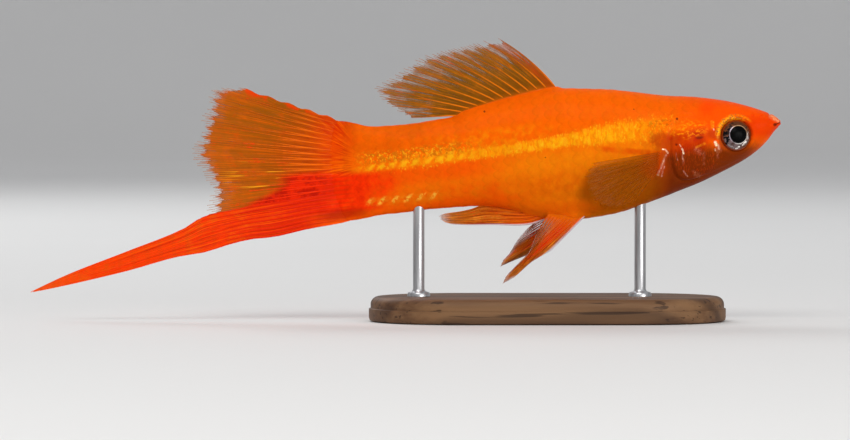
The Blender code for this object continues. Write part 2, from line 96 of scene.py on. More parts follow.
# Edges of the tail fin
FAN_ROOT_TOP = 6.9
FAN_FOOT = ((60.6, -2.9), (70, -3.25), (78, -3.75), (81.5, -4.1))
SWORD_UPPER_EDGE = ((84.2, -5.4), (93, -7.85), (101.7, -10.15), (106.9, -11.9))
SWORD_LOWER_EDGE = ((60.6, -6.85), (61.9, -7.08), (67, -7.38), (72.8, -8.0), (75, -7.94), (78.4, -8.34),
                    (82.6, -9.12), (84.8, -9.2), (93.3, -10.5), (101.8, -11.55), (106.9, -12.05))

# Edges of the other fins: the share along the edge, then s and h
DORSAL_MARGIN = ((0, 37.9, 16.1), (0.24, 43.6, 15.6), (0.46, 48.3, 15.0), (0.66, 52.6, 12.9),
                 (0.84, 56.0, 10.8), (0.94, 54.6, 8.6), (1, 51.6, 6.4))
FAN_MARGIN = ((0, 74.9, 13.6), (0.1, 78.6, 13.5), (0.32, 80.5, 9.7), (0.56, 82.4, 4.8), (0.7, 81.4, 2.1),
              (0.85, 80.7, -1.0), (1, *FAN_FOOT[-1]))
ANAL_UPPER_EDGE = ((0, 36.4, -8.3), (0.3, 39.2, -7.6), (0.55, 42.6, -6.95), (0.68, 44.3, -7.32),
                   (0.82, 46.3, -7.48), (0.93, 47.9, -7.5), (1, 48.8, -7.7))
ANAL_LOWER_EDGE = ((0, 33.2, -9.6), (0.2, 36.6, -10.26), (0.5, 41.2, -9.78), (0.82, 46.3, -9.2),
                   (0.93, 47.8, -8.85), (1, 49.0, -7.95))
# Ends of the rays of the fins in pairs: the share along the fin, then s, h and y
PECTORAL_TIPS = ((0, 27.2, -2.6, 9.4), (0.2, 28.6, -4.6, 9.9), (0.5, 27.9, -7.6, 10.0),
                 (0.8, 25.0, -9.3, 9.2), (1, 22.0, -8.9, 8.0))
# The same, where s and h are each followed by the part of the fin's drop that is taken off them
PELVIC_TIPS = ((0, 33.9, 0, -13.1, 0.5, 3.1), (0.1, 36.9, 0, -14.6, 0.43, 3.2),
               (0.15, 39.6, 0, -15.4, 0.9, 3.1), (0.21, 41.2, 0, -15.9, 0.96, 3.0),
               (0.27, 40.8, 0, -15.2, 0.96, 3.1), (0.45, 39.8, 0.1, -14.3, 0.85, 3.2),
               (0.7, 38.3, 0.4, -12.4, 0.95, 3.4), (1, 36.9, 0.43, -11.1, 0.45, 3.4))
PELVIC_DROP = 2.3  # how far the right fin hangs below the left
UNBRANCHED = (2, 3)  # places that no ray has, so that none forks
MARGIN_SEED, RAY_SEED = 3, 11

# Markings: the golden band's middle and half width along s, and the head's small marks as (start, end, width,
# strength) lines or (centre, radii, strength) ovals of the side view
BAND_MIDDLE = ((8, 1.4), (16, 1.2), (25, 1.05), (33, 0.72), (40, 0.45), (48, 0.5), (60, 0.4))
BAND_REACH = ((8, 0.9), (14, 1.2), (18, 1.5), (25, 1.3), (31, 0.85), (40, 0.8), (52, 1.1), (60, 1.2))
# The glows and glints are partly guanine on the gill cover and partly painted highlights
GLOWS = (((12.0, -2.4), (11.5, -2.9), 0.62, 0.6), ((12.4, -5.9), (12.0, -6.1), 0.55, 0.6),
         ((8.9, -2.3), (8.8, -2.9), 0.55, 0.9), ((12.7, -5.4), (12.6, -5.5), 0.35, 0.5),
         ((16.3, -2.7), (17.6, -5.3), 0.34, 0.5), ((13.9, -2.7), (14.0, -4.2), 0.30, 0.4),
         ((9.1, -3.0), (9.1, -3.9), 0.30, 0.5), ((11.0, -2.9), (11.2, -4.6), 0.30, 0.3))
THREADS = (((16.26, -2.7), (16.8, -3.5), 0.15, 0.55), ((16.8, -3.5), (17.6, -5.2), 0.19, 0.85),
           ((16.75, -4.3), (17.2, -5.6), 0.15, 0.7), ((14.0, -3.0), (14.05, -3.9), 0.14, 0.45),
           ((14.1, -5.2), (13.6, -6.0), 0.16, 0.6), ((14.9, -2.6), (14.8, -3.6), 0.12, 0.3),
           ((8.85, -2.2), (8.8, -2.7), 0.22, 0.8))
GLINTS = (((16.7, -1.88), (16.3, -1.98), 0.16, 0.9), ((16.2, -2.15), (16.0, -2.45), 0.19, 1.0),
          ((14.25, -1.5), (14.1, -1.8), 0.12, 0.7), ((14.0, -2.1), (13.95, -2.3), 0.19, 1.0),
          ((13.92, -2.55), (13.85, -2.8), 0.19, 1.0), ((9.25, -1.75), (9.2, -2.1), 0.30, 1.6),
          ((9.4, -2.7), (9.35, -2.85), 0.18, 0.9), ((9.27, 0.08), (9.25, -0.02), 0.17, 0.8),
          ((17.7, -5.3), (17.6, -5.4), 0.13, 0.7))
GOLD_STREAKS = (((9.4, 1.1), (9.4, 0.4), 0.3, 0.8), ((12.0, -2.15), (10.8, -1.75), 0.24, 0.4))
DARK_SPOTS = (((14.2, 2.1), (0.17, 0.17), 0.9), ((40.7, 6.1), (0.13, 0.13), 0.9),
              ((20.0, 4.1), (0.08, 0.08), 0.8), ((33.0, -1.2), (0.09, 0.09), 0.8),
              ((11.4, -0.85), (0.5, 0.2), 0.7), ((14.7, -1.45), (0.18, 0.16), 0.8))
# The iris's silver streaks, in millimetres forwards and up from its middle
SILVER_STREAKS = (((0.30, -1.18), (0.98, -0.70), 0.15, 1.0), ((0.62, -1.40), (1.16, -1.00), 0.19, 1.0),
                  ((-0.30, -1.86), (0.12, -1.58), 0.18, 1.0), ((1.44, -0.60), (1.58, 0.25), 0.13, 0.5),
                  ((-1.26, -1.20), (-0.65, -1.66), 0.13, 0.3), ((1.0, -1.25), (1.5, -0.6), 0.35, 0.2))
# The fan's olive patch: its centre, radii and softness
FAN_OLIVE = ((70.5, 9.0), (6.5, 2.6), 0.6)
LOWER_FIN_TINTS = ((0.0, (0.78, 0.095, 0.001)), (0.35, (0.60, 0.075, 0.001)), (0.7, (0.40, 0.085, 0.003)),
                   (0.9, (0.40, 0.12, 0.02)), (1.0, (0.58, 0.50, 0.48)))
PALE_EDGE, PALE_TIP = (0.62, 0.60, 0.66), (0.72, 0.66, 0.66)

SHARP_ANGLE = math.radians(40)  # edges of the stand sharper than this stay crisp

# Studio: each light's name, place, height and tint, and the middle of the photograph's frame
LIGHTS = (("key", (-0.12, -0.55, 0.62), 0.4, (1.0, 0.985, 0.96)),
          ("fill", (0.40, -0.62, 0.13), 0.22, (1.0, 0.99, 0.98)),
          ("rim", (-0.35, 0.60, 0.50), 0.35, (0.97, 0.985, 1.0)))
FRAME_MIDDLE = (0.00287, 0.0, 0.01418)


# Sizes and colours that a user would change


def size(name, description, default):
    return FloatProperty(name=name, description=description, default=default, unit="LENGTH", precision=5)


def power(name, description, default):
    return FloatProperty(name=name, description=description, default=default, unit="POWER")


def factor(name, description, default):
    return FloatProperty(name=name, description=description, default=default)


def count(name, description, default, least=0):
    return IntProperty(name=name, description=description, default=default, min=least)


def colour(name, description, default):
    return FloatVectorProperty(name=name, description=description, default=default, size=3, subtype="COLOR",
                               min=0, max=1)


class SkinSettings(bpy.types.PropertyGroup):
    """Relief and colours of the fish's skin."""
    rows: count("Rows", "Rings of the skin's mesh behind the snout", 372, 60)
    columns: count("Columns", "Points round each ring", 208, 48)
    back: colour("Back", "Upper flank and back", (0.93, 0.118, 0.001))
    crown: colour("Crown", "Top of the head and snout", (0.90, 0.080, 0.001))
    band: colour("Band", "Golden band along the flank", (1.0, 0.38, 0.003))
    flank: colour("Flank", "Flank under the band", (0.92, 0.20, 0.002))
    # The belly patch is partly the dark gut seen through the skin and partly a painted shadow of the pectoral
    # fin
    belly: colour("Belly", "Dark patch over the gut", (0.34, 0.068, 0.001))
    # Painted shade under the head and breast, where less light falls
    throat_shade: colour("Throat", "Throat and breast", (0.18, 0.024, 0.002))
    gill: colour("Gill", "Blood-red gills seen through their cover", (0.50, 0.022, 0.001))
    stalk: colour("Stalk", "Red along the tail's lower half", (0.95, 0.030, 0.001))
    # The tail's orange underside, painted lighter to stand in for light from below
    lit_keel: colour("Keel", "Underside of the tail", (1.0, 0.105, 0.001))
    # The silver specks are partly guanine and partly painted highlights
    silver: colour("Silver", "Bright guanine specks on the gill cover", (1.0, 0.74, 0.46))


class ScaleSettings(bpy.types.PropertyGroup):
    """The scales over the skin."""
    columns: count("Along", "Scales from snout to tail if none were left out", 41)
    rows: count("Around", "Scales round the body", 26)
    lift: size("Lift", "How far a scale's rear edge stands out", 0.000018)
    length: factor("Length", "A scale's length against its spacing", 1.5)
    width: factor("Width", "A scale's width against its spacing", 1.12)
    seed: count("Seed", "Seed of the scales' differences", 5)


class EyeSettings(bpy.types.PropertyGroup):
    """The eyes."""
    radius: size("Radius", "Radius of the eyeball across its front", 0.00215)
    depth: size("Depth", "Half thickness of the eyeball", 0.0015)
    sunk: size("Sunk", "Depth of the eyeball's centre under the skin", 0.00085)
    pupil: size("Pupil", "Radius of the pupil", 0.00121)
    iris: colour("Iris", "Dark part of the iris", (0.035, 0.017, 0.012))
    silver: colour("Silver", "Bright parts of the iris", (1.0, 0.95, 0.88))
    gold: colour("Gold", "Warm rim of the iris", (0.80, 0.36, 0.05))


class FinSettings(bpy.types.PropertyGroup):
    """Rays and membranes of the fins."""
    dorsal_rays: count("Dorsal rays", "Rays of the fin on the back", 13, 3)
    fan_rays: count("Fan rays", "Rays of the tail fin above the sword", 17, 3)
    girth: size("Girth", "Radius of a ray near its root", 0.00013)
    membrane: size("Membrane", "Half thickness of a membrane", 0.00003)
    ray: colour("Ray", "Rays of the dorsal fin", (0.76, 0.185, 0.004))
    amber: colour("Amber", "Membrane of the dorsal fin", (0.22, 0.080, 0.003))
    red: colour("Red", "Sword", (0.93, 0.035, 0.001))
    clear: colour("Clear", "Pectoral fins", (0.30, 0.068, 0.001))


class StandSettings(bpy.types.PropertyGroup):
    """The display stand."""
    round_over: size("Round-over", "Radius of the base's upper edge", 0.0011)
    wood: colour("Wood", "Walnut", (0.105, 0.048, 0.022))
    steel: colour("Steel", "Rods", (0.58, 0.58, 0.59))


class StudioSettings(bpy.types.PropertyGroup):
    """Camera, floor and lights."""
    distance: size("Distance", "From the camera to the fish", 0.75)
    frame_width: size("Frame width", "Width of the picture at the fish", 0.119)
    elevation: FloatProperty(name="Elevation", description="Camera's height above level, as an angle",
                             default=math.radians(1.5), subtype="ANGLE")
    key: power("Key", "Power of the main light", 2.35)
    fill: power("Fill", "Power of the low light on the camera's right", 1.95)
    rim: power("Rim", "Power of the light behind", 2.0)
    sky: factor("Sky", "Strength of the light all round", 0.58)
    floor: colour("Floor", "Pale floor", (0.80, 0.79, 0.77))


# Node trees written as expressions


def binary(operation, turned=False):
    """A method that adds one Math node for an operator. turned swaps its two values."""
    return lambda self, other: self.tree.maths(operation, *((other, self) if turned else (self, other)))


class Wire:
    """A socket of a node tree, so that maths on it reads as Python."""

    def __init__(self, tree, socket):
        self.tree = tree
        self.socket = socket

    __add__ = __radd__ = binary("ADD")
    __mul__ = __rmul__ = binary("MULTIPLY")
    __sub__, __rsub__ = binary("SUBTRACT"), binary("SUBTRACT", turned=True)
    __truediv__, __pow__ = binary("DIVIDE"), binary("POWER")

    def __abs__(self):
        return self.tree.maths("ABSOLUTE", self)


class Tree:
    """Adds nodes to a shader or geometry tree."""

    def __init__(self, tree):
        self.tree = tree

    def node(self, kind, settings=None, *values, out=0, **named):
        """Adds a node, makes its settings, fills its sockets in order or by name, and gives one output."""
        made = self.tree.nodes.new(kind)
        for key, value in (settings or {}).items():
            if key == "stops":
                self.fill_ramp(made.color_ramp, value)
            elif key == "points":
                self.fill_curve(made.mapping, value)
            else:
                setattr(made, key, value)
        sockets = {s.identifier: s for s in made.inputs}
        for socket, value in zip(made.inputs, values):
            self.plug(socket, value)
        for key, value in named.items():
            self.plug(sockets.get(key) or made.inputs[key.replace("_", " ")], value)
        return Wire(self, made.outputs[out])

    def maths(self, operation, *values):
        return self.node("ShaderNodeMath", {"operation": operation}, *values)

    def plug(self, socket, value):
        if isinstance(value, Wire):
            self.tree.links.new(value.socket, socket)
        elif socket.type == "RGBA" and len(value) == 3:
            socket.default_value = (*value, 1.0)
        else:
            socket.default_value = value

    @staticmethod
    def fill_ramp(ramp, stops):
        while len(ramp.elements) < len(stops):
            ramp.elements.new(1.0)
        for element, (place, value) in zip(ramp.elements, stops):
            element.position = place
            element.color = (*value, 1.0)

    @staticmethod
    def fill_curve(mapping, points):
        curve = mapping.curves[0]
        while len(curve.points) < len(points):
            curve.points.new(1.0, 1.0)
        for point, (x, y) in zip(curve.points, points):
            point.location = (x, y)
        mapping.update()


class Finish(Tree):
    """A material under construction."""

    def __init__(self, name):
        self.material = bpy.data.materials.new(name)
        self.material.use_nodes = True
        super().__init__(self.material.node_tree)
        self.shader = self.tree.nodes["Principled BSDF"]
        self.place = self.node("ShaderNodeTexCoord", out="Object")

    def set(self, **inputs):
        """Sets or links sockets of the Principled shader."""
        for key, value in inputs.items():
            self.plug(self.shader.inputs[key.replace("_", " ")], value)

    def along(self, direction, start=0.0):
        """How far a point lies along a direction, in millimetres."""
        scaled = tuple(x / MM for x in direction)
        product = {"operation": "DOT_PRODUCT"}
        found = self.node("ShaderNodeVectorMath", product, self.place, scaled, out="Value")
        return found + start

    def side_view(self):
        """The point in the fish's side view as s and h, in millimetres."""
        c, d = math.cos(PITCH), math.sin(PITCH)
        x, z = SNOUT[0] / MM, SNOUT[2] / MM
        return self.along((-c, 0, -d), x * c + z * d), self.along((-d, 0, c), x * d - z * c)

    def attribute(self, name):
        return self.node("ShaderNodeAttribute", {"attribute_name": name}, out="Fac")

    def fin_place(self):
        """The point's place along the fin's rays and across them."""
        return self.attribute("along"), self.attribute("across")

    def step(self, value, low, high):
        """0 below low and 1 above high, with a smooth change between."""
        if low > high:
            return 1 - self.step(value, high, low)
        settings = {"interpolation_type": "SMOOTHSTEP"}
        return self.node("ShaderNodeMapRange", settings, Value=value, From_Min=low, From_Max=high)

    def clamp(self, value):
        return self.node("ShaderNodeClamp", None, value)

    def window(self, value, low, high, soft):
        return self.step(value, low - soft, low + soft) * self.step(value, high + soft, high - soft)

    def oval(self, s, h, centre, radii, soft=0.3):
        """1 inside an oval of the side view, with a soft edge."""
        across = (s - centre[0]) / radii[0]
        up = (h - centre[1]) / radii[1]
        return self.step((across * across + up * up) ** 0.5, 1 + soft, 1 - soft)

    def off_line(self, s, h, start, end):
        """The distance from a short line of the side view."""
        run, rise = end[0] - start[0], end[1] - start[1]
        from_s, from_h = s - start[0], h - start[1]
        reach = self.clamp((from_s * run + from_h * rise) / (run * run + rise * rise))
        off_s, off_h = from_s - reach * run, from_h - reach * rise
        return (off_s * off_s + off_h * off_h) ** 0.5

    def streak(self, s, h, start, end, width):
        """1 along a short line of the side view, fading over its width."""
        return self.step(self.off_line(s, h, start, end), width, width * 0.3)

    def repeat(self, value, pitch):
        """Rises from 0 to 1 and falls again, once in each pitch."""
        return self.maths("PINGPONG", value, pitch / 2) / (pitch / 2)

    def profile(self, value, points, low, high):
        """A smooth curve through (place, value) points, with values between low and high."""
        first, last = points[0][0], points[-1][0]
        shares = [((x - first) / (last - first), (y - low) / (high - low)) for x, y in points]
        found = self.node("ShaderNodeFloatCurve", {"points": shares}, Value=(value - first) / (last - first))
        return found * (high - low) + low

    def noise(self, scale, detail=2.0, roughness=0.5, stretch=(1, 1, 1), turn=0.0):
        """Noise over the piece, its scale in features a metre, turned about Y by so many degrees."""
        place = self.node("ShaderNodeMapping", None, Vector=self.place, Scale=stretch,
                          Rotation=(0, math.radians(turn), 0))
        return self.texture(place, scale, detail, roughness)

    def texture(self, place, scale, detail, roughness):
        inputs = {"Vector": place, "Scale": scale, "Detail": detail, "Roughness": roughness}
        return self.node("ShaderNodeTexNoise", None, **inputs)

    def patches(self, scale, low, high, detail=3, roughness=0.6, stretch=(1, 1, 1)):
        """Patches of noise: 0 where it is below low and 1 where it is above high."""
        return self.step(self.noise(scale, detail, roughness, stretch), low, high)

    def fibre(self, count):
        """Noise in streaks along a fin's rays, about count of them from its first ray to its last."""
        along, across = self.fin_place()
        place = self.node("ShaderNodeCombineXYZ", None, across * count, along * 2.5, 0.0)
        return self.texture(place, 1.0, 3, 0.65)

    def mix(self, low, high, factor, blend="MIX"):
        return self.node("ShaderNodeMix", {"data_type": "RGBA", "blend_type": blend}, out=2,
                         Factor_Float=factor, A_Color=low, B_Color=high)

    def coats(self, tint, *coats):
        """Lays coats of (colour, mask) over a tint, the last on top."""
        for colour, mask in coats:
            tint = self.mix(tint, colour, mask)
        return tint

    def shaded(self, tint, red, green, blue):
        """A tint with each of its channels made darker or lighter."""
        return self.mix(tint, self.node("ShaderNodeCombineColor", None, red, green, blue), 1.0, "MULTIPLY")

    def bump(self, height, distance, strength=1.0):
        return self.node("ShaderNodeBump", None, Strength=strength, Distance=distance, Height=height)


# The body's shape


def through(points):
    """A smooth curve through (place, value) points that doesn't overshoot them."""
    places, values = np.array(points, float).T
    steps = np.diff(places)
    slopes = np.diff(values) / steps
    tangents = np.concatenate([slopes[:1], np.zeros(len(slopes) - 1), slopes[-1:]])
    for i in range(1, len(slopes)):
        before, after = slopes[i - 1], slopes[i]
        if before * after > 0:
            weight = (2 * steps[i] + steps[i - 1], steps[i] + 2 * steps[i - 1])
            tangents[i] = sum(weight) / (weight[0] / before + weight[1] / after)

    def at(place):
        place = np.clip(np.asarray(place, float), places[0], places[-1])
        i = np.clip(np.searchsorted(places, place, side="right") - 1, 0, len(steps) - 1)
        u = (place - places[i]) / steps[i]
        ends = values[i] * (1 + 2 * u) * (1 - u) ** 2 + values[i + 1] * (3 - 2 * u) * u**2
        leans = tangents[i] * u * (1 - u) ** 2 - tangents[i + 1] * (1 - u) * u**2
        return ends + leans * steps[i]

    return at


def path_through(points):
    """A smooth path through (share, s, h) points, as a function of the share along it."""
    share_along, s, h = zip(*points)
    along, up = through(tuple(zip(share_along, s))), through(tuple(zip(share_along, h)))
    return lambda u: np.stack([along(u), up(u)], axis=-1)


back, belly, half_width = through(BACK), through(BELLY), through(HALF_WIDTH)
widest_level = through(WIDEST_LEVEL)
squareness_above, squareness_below = through(SQUARENESS_ABOVE), through(SQUARENESS_BELOW)


def smooth(value, low, high):
    """0 below low and 1 above high, or the other way round where low is over high."""
    t = np.clip((np.asarray(value, float) - low) / (high - low), 0, 1)
    return t * t * (3 - 2 * t)


def hump(value, width):
    return np.exp(-((value / width) ** 2))


def sway(s):
    """How far the tail has bent to the left at s."""
    behind = np.clip((np.asarray(s, float) - SWAY_FROM) / (SWORD_TIP - SWAY_FROM), 0, 1)
    return SWAY_AT_TIP * behind**2


def fish_point(s, y, h):
    s, y, h = np.broadcast_arrays(*(np.asarray(value, float) for value in (s, y, h)))
    return np.stack([-s, y + sway(s), h], axis=-1)


def bare_skin(s, angle):
    """The body's plain surface at s, angle radians round from the back by the left side to the belly."""
    s, angle = np.broadcast_arrays(np.asarray(s, float), np.asarray(angle, float))
    level = widest_level(s)
    across, up = np.sin(angle), np.cos(angle)
    squareness = np.where(up > 0, squareness_above(s), squareness_below(s))
    reach = np.where(up > 0, back(s) - level, level - belly(s))
    y = half_width(s) * np.sign(across) * np.abs(across) ** (2 / squareness)
    return fish_point(s, y, level + reach * np.sign(up) * np.abs(up) ** (2 / squareness))


def skin_normal(s, angle):
    step = 2e-3
    along = bare_skin(s + step, angle) - bare_skin(s - step, angle)
    around = bare_skin(s, angle + step) - bare_skin(s, angle - step)
    normal = np.cross(around, along)
    return normal / np.linalg.norm(normal, axis=-1, keepdims=True)


def skin_point(s, angle, out=0.0):
    """The body's surface, moved out along its normal."""
    return bare_skin(s, angle) + np.asarray(out, float)[..., None] * skin_normal(s, angle)


def to_row(points):
    """Points of the fish's frame, in millimetres, as points of the row frame, in metres."""
    c, d = math.cos(PITCH), math.sin(PITCH)
    x, y, z = np.moveaxis(np.asarray(points, float) * MM, -1, 0)
    return np.stack([SNOUT[0] + x * c - z * d, y, SNOUT[2] + x * d + z * c], axis=-1)


# Meshes


def add_mesh(name, points, faces, edges=()):
    """A mesh object from points in metres, with faces that are arrays of equal length or lists."""
    mesh = bpy.data.meshes.new(name)
    faces = faces.tolist() if isinstance(faces, np.ndarray) else list(faces)
    mesh.from_pydata(np.asarray(points, float).reshape(-1, 3).tolist(), list(edges), faces)
    mesh.shade_smooth()
    obj = bpy.data.objects.new(name, mesh)
    bpy.context.scene.collection.objects.link(obj)
    return obj


def add_attribute(obj, name, values):
    attribute = obj.data.attributes.new(name, "FLOAT", "POINT")
    attribute.data.foreach_set("value", np.asarray(values, np.float32).ravel())


def grid_faces(rows, columns, closed=False, first=0):
    """The quads of a grid of points stored row by row. closed joins each row's end to its start."""
    r, c = np.meshgrid(np.arange(rows - 1), np.arange(columns if closed else columns - 1), indexing="ij")
    here, right = r * columns + c, r * columns + (c + 1) % columns
    return first + np.stack([here, right, right + columns, here + columns], axis=-1).reshape(-1, 4)


def turn_outwards(obj):
    """Turns a closed mesh's faces outwards."""
    shape = bmesh.new()
    shape.from_mesh(obj.data)
    bmesh.ops.recalc_face_normals(shape, faces=shape.faces)
    shape.to_mesh(obj.data)
    shape.free()


def paint(obj, material):
    obj.data.materials.clear()
    obj.data.materials.append(material)


def finish_piece(obj, slot, *nodes):
    """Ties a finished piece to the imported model."""
    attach(obj, "root")
    if nodes:
        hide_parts(*nodes)


def new_tree(name, inputs):
    """A geometry tree with a Geometry input and output, and its other inputs by name, kind and default."""
    group = bpy.data.node_groups.new(name, "GeometryNodeTree")
    group.interface.new_socket(name="Geometry", in_out="INPUT", socket_type="NodeSocketGeometry")
    for label, kind, default in inputs:
        made = group.interface.new_socket(name=label, in_out="INPUT", socket_type="NodeSocket" + kind)
        if default is not None:
            made.default_value = default
    group.interface.new_socket(name="Geometry", in_out="OUTPUT", socket_type="NodeSocketGeometry")
    tree = Tree(group)
    start = group.nodes.new("NodeGroupInput")
    given = {s.name: Wire(tree, s) for s in start.outputs if s.name}
    return tree, given


def end_tree(tree, geometry, material):
    """Ends a tree in Realize Instances and Set Material."""
    real = tree.node("GeometryNodeRealizeInstances", None, geometry)
    painted = tree.node("GeometryNodeSetMaterial", None, real, Material=material)
    end = tree.tree.nodes.new("NodeGroupOutput")
    tree.tree.links.new(painted.socket, end.inputs[0])


def grow(obj, tree, values, name):
    """Runs a geometry tree on obj with the named values, and gives its result as a plain mesh object."""
    modifier = obj.modifiers.new(name, "NODES")
    modifier.node_group = tree.tree
    for item in tree.tree.interface.items_tree:
        if item.in_out == "INPUT" and item.name in values:
            modifier[item.identifier] = values[item.name]
    graph = bpy.context.evaluated_depsgraph_get()
    found = obj.evaluated_get(graph)
    mesh = bpy.data.meshes.new_from_object(found, preserve_all_data_layers=True, depsgraph=graph)
    mesh.name = name
    seed_mesh = obj.data
    bpy.data.objects.remove(obj)
    bpy.data.meshes.remove(seed_mesh)
    grown = bpy.data.objects.new(name, mesh)
    bpy.context.scene.collection.objects.link(grown)
    return grown


# Skin


def lips_and_mouth(s, h, angle):
    """Lips that swell along the mouth line, and the cleft between them."""
    slope = (MOUTH_CORNER[1] - MOUTH_FRONT[1]) / (MOUTH_CORNER[0] - MOUTH_FRONT[0])
    off_line = h - (MOUTH_FRONT[1] + slope * (s - MOUTH_FRONT[0]))
    past_corner = np.clip(s - MOUTH_CORNER[0], 0, None)
    lips = 0.13 * hump(off_line, 0.32) * hump(past_corner, 0.3)
    crease = -0.035 * hump(np.abs(off_line) - 0.48, 0.08) * smooth(s, 1.3, 0.9)
    cleft = -0.26 * hump(off_line, 0.05) * smooth(s, 1.0, 0.75)
    # The fold where the upper lip slides under the snout
    top = smooth(np.abs(angle), 1.75, 1.1)
    fold = -0.16 * hump(s - 1.22 - 0.3 * (1 - np.cos(angle)), 0.13) * top + 0.05 * hump(s - 0.75, 0.3) * top
    return lips + crease + cleft + fold


def nostrils(s, angle):
    relief = 0
    for place, turn, radius in ((2.5, 50, 0.2), (3.7, 57, 0.15)):
        off = np.hypot(s - place, (np.abs(angle) - math.radians(turn)) * half_width(s))
        relief = relief - 0.28 * hump(off, radius) + 0.05 * hump(off - 1.7 * radius, 0.09)
    return relief


def orbit(points):
    """The socket that the eyeball sits in, with a soft rim."""
    relief = 0
    for side in (1, -1):
        centre = bare_skin(EYE_S, side * EYE_ANGLE)
        axis = skin_normal(EYE_S, side * EYE_ANGLE)
        away = points - centre
        depth = away @ axis
        off = np.linalg.norm(away - depth[..., None] * axis, axis=-1)
        off = np.where(np.abs(depth) < 2.5, off, 99.0)
        relief = relief - 1.4 * smooth(off, 2.42, 1.95) + 0.06 * hump(off - 2.7, 0.25)
    return relief


def gill_cover(s, angle):
    """The bony cover with its lifted rear edge and the opening behind it, and the cheek's own curved edge."""
    x = (s - GILL_S) / GILL_HALF_LENGTH
    x = np.where(x < 0, x / 0.85, x)
    y = (np.abs(angle) - GILL_ANGLE) / GILL_HALF_SPAN
    out = (np.abs(x) ** 2.4 + np.abs(y) ** 2.4) ** (1 / 2.4)
    free = smooth((x + 0.35 * np.clip(y, 0, 1)) / np.clip(out, 0.3, None), -0.1, 0.7)
    plate = (0.05 + 0.14 * free) * smooth(out, 1.03, 0.93)
    opening = -0.17 * free * hump(out - 1.07, 0.045)
    cheek = np.hypot(s - 6.6, (np.abs(angle) - math.radians(98)) * 4.6)
    edge = -0.05 * hump(cheek - 3.9, 0.14) * smooth(s, 7.2, 8.6) * smooth(s, 11.5, 10.4)
    return plate + opening + edge


def fin_roots(s, angle, points):
    """Flesh that rises to the root of each fin."""
    y = points[..., 1] - sway(s)
    top, under = np.abs(angle) < 1.2, np.abs(angle) > 1.9
    dorsal = 0.36 * hump(y, 0.5) * smooth(s, 29.4, 30.6) * smooth(s, 45.2, 43.8) * top
    anal = 0.34 * hump(y, 0.5) * smooth(s, 32.4, 33.4) * smooth(s, 37.6, 36.6) * under
    pelvic = 0.32 * hump(s - 29.9, 1.5) * hump((np.abs(angle) - math.radians(162)) * 6.0, 0.5)
    pectoral = 0.3 * hump(s - 17.2, 0.6) * hump((np.abs(angle) - math.radians(109)) * 5.2, 1.15)
    return dorsal + anal + pelvic + pectoral


def soft_unevenness(s, angle):
    """The slight unevenness of flesh under skin."""
    blocks = 0.014 * np.sin(2 * np.pi * s / 1.9 + 2.2 * np.cos(2 * angle))
    blocks = blocks * smooth(s, 17, 24) * smooth(s, 62, 58)
    swell = 0.03 * np.sin(0.9 * s + 3 * np.cos(angle)) * np.sin(2.0 * np.abs(angle) + 0.15 * s)
    place = (FAN_ROOT_TOP - np.cos(angle) * 6.9) / (FAN_ROOT_TOP - FAN_FOOT[0][1])
    ridges = 0.03 * np.cos(2 * np.pi * 16 * place) * smooth(s, 60.2, 62.4)
    breast = -0.05 * hump((np.abs(angle) - math.radians(154)) * 5.0, 0.35)
    breast = breast * smooth(s, 5, 7) * smooth(s, 15, 13)
    return blocks + swell + breast + ridges


def even_angles(s, columns):
    """For each s, the angles whose points stand evenly spaced round the ring, from the belly by the right
    side, the back and the left side to the belly again."""
    fine = np.linspace(-np.pi, 0, 241)
    ring = bare_skin(s[:, None], fine[None])
    steps = np.linalg.norm(np.diff(ring, axis=1), axis=-1)
    length = np.concatenate([np.zeros((len(s), 1)), np.cumsum(steps, axis=1)], axis=1)
    half = np.linspace(0, 1, columns // 2 + 1)
    right = np.array([np.interp(half * run[-1], run, fine) for run in length])
    return np.concatenate([right, -right[:, -2::-1]], axis=1)


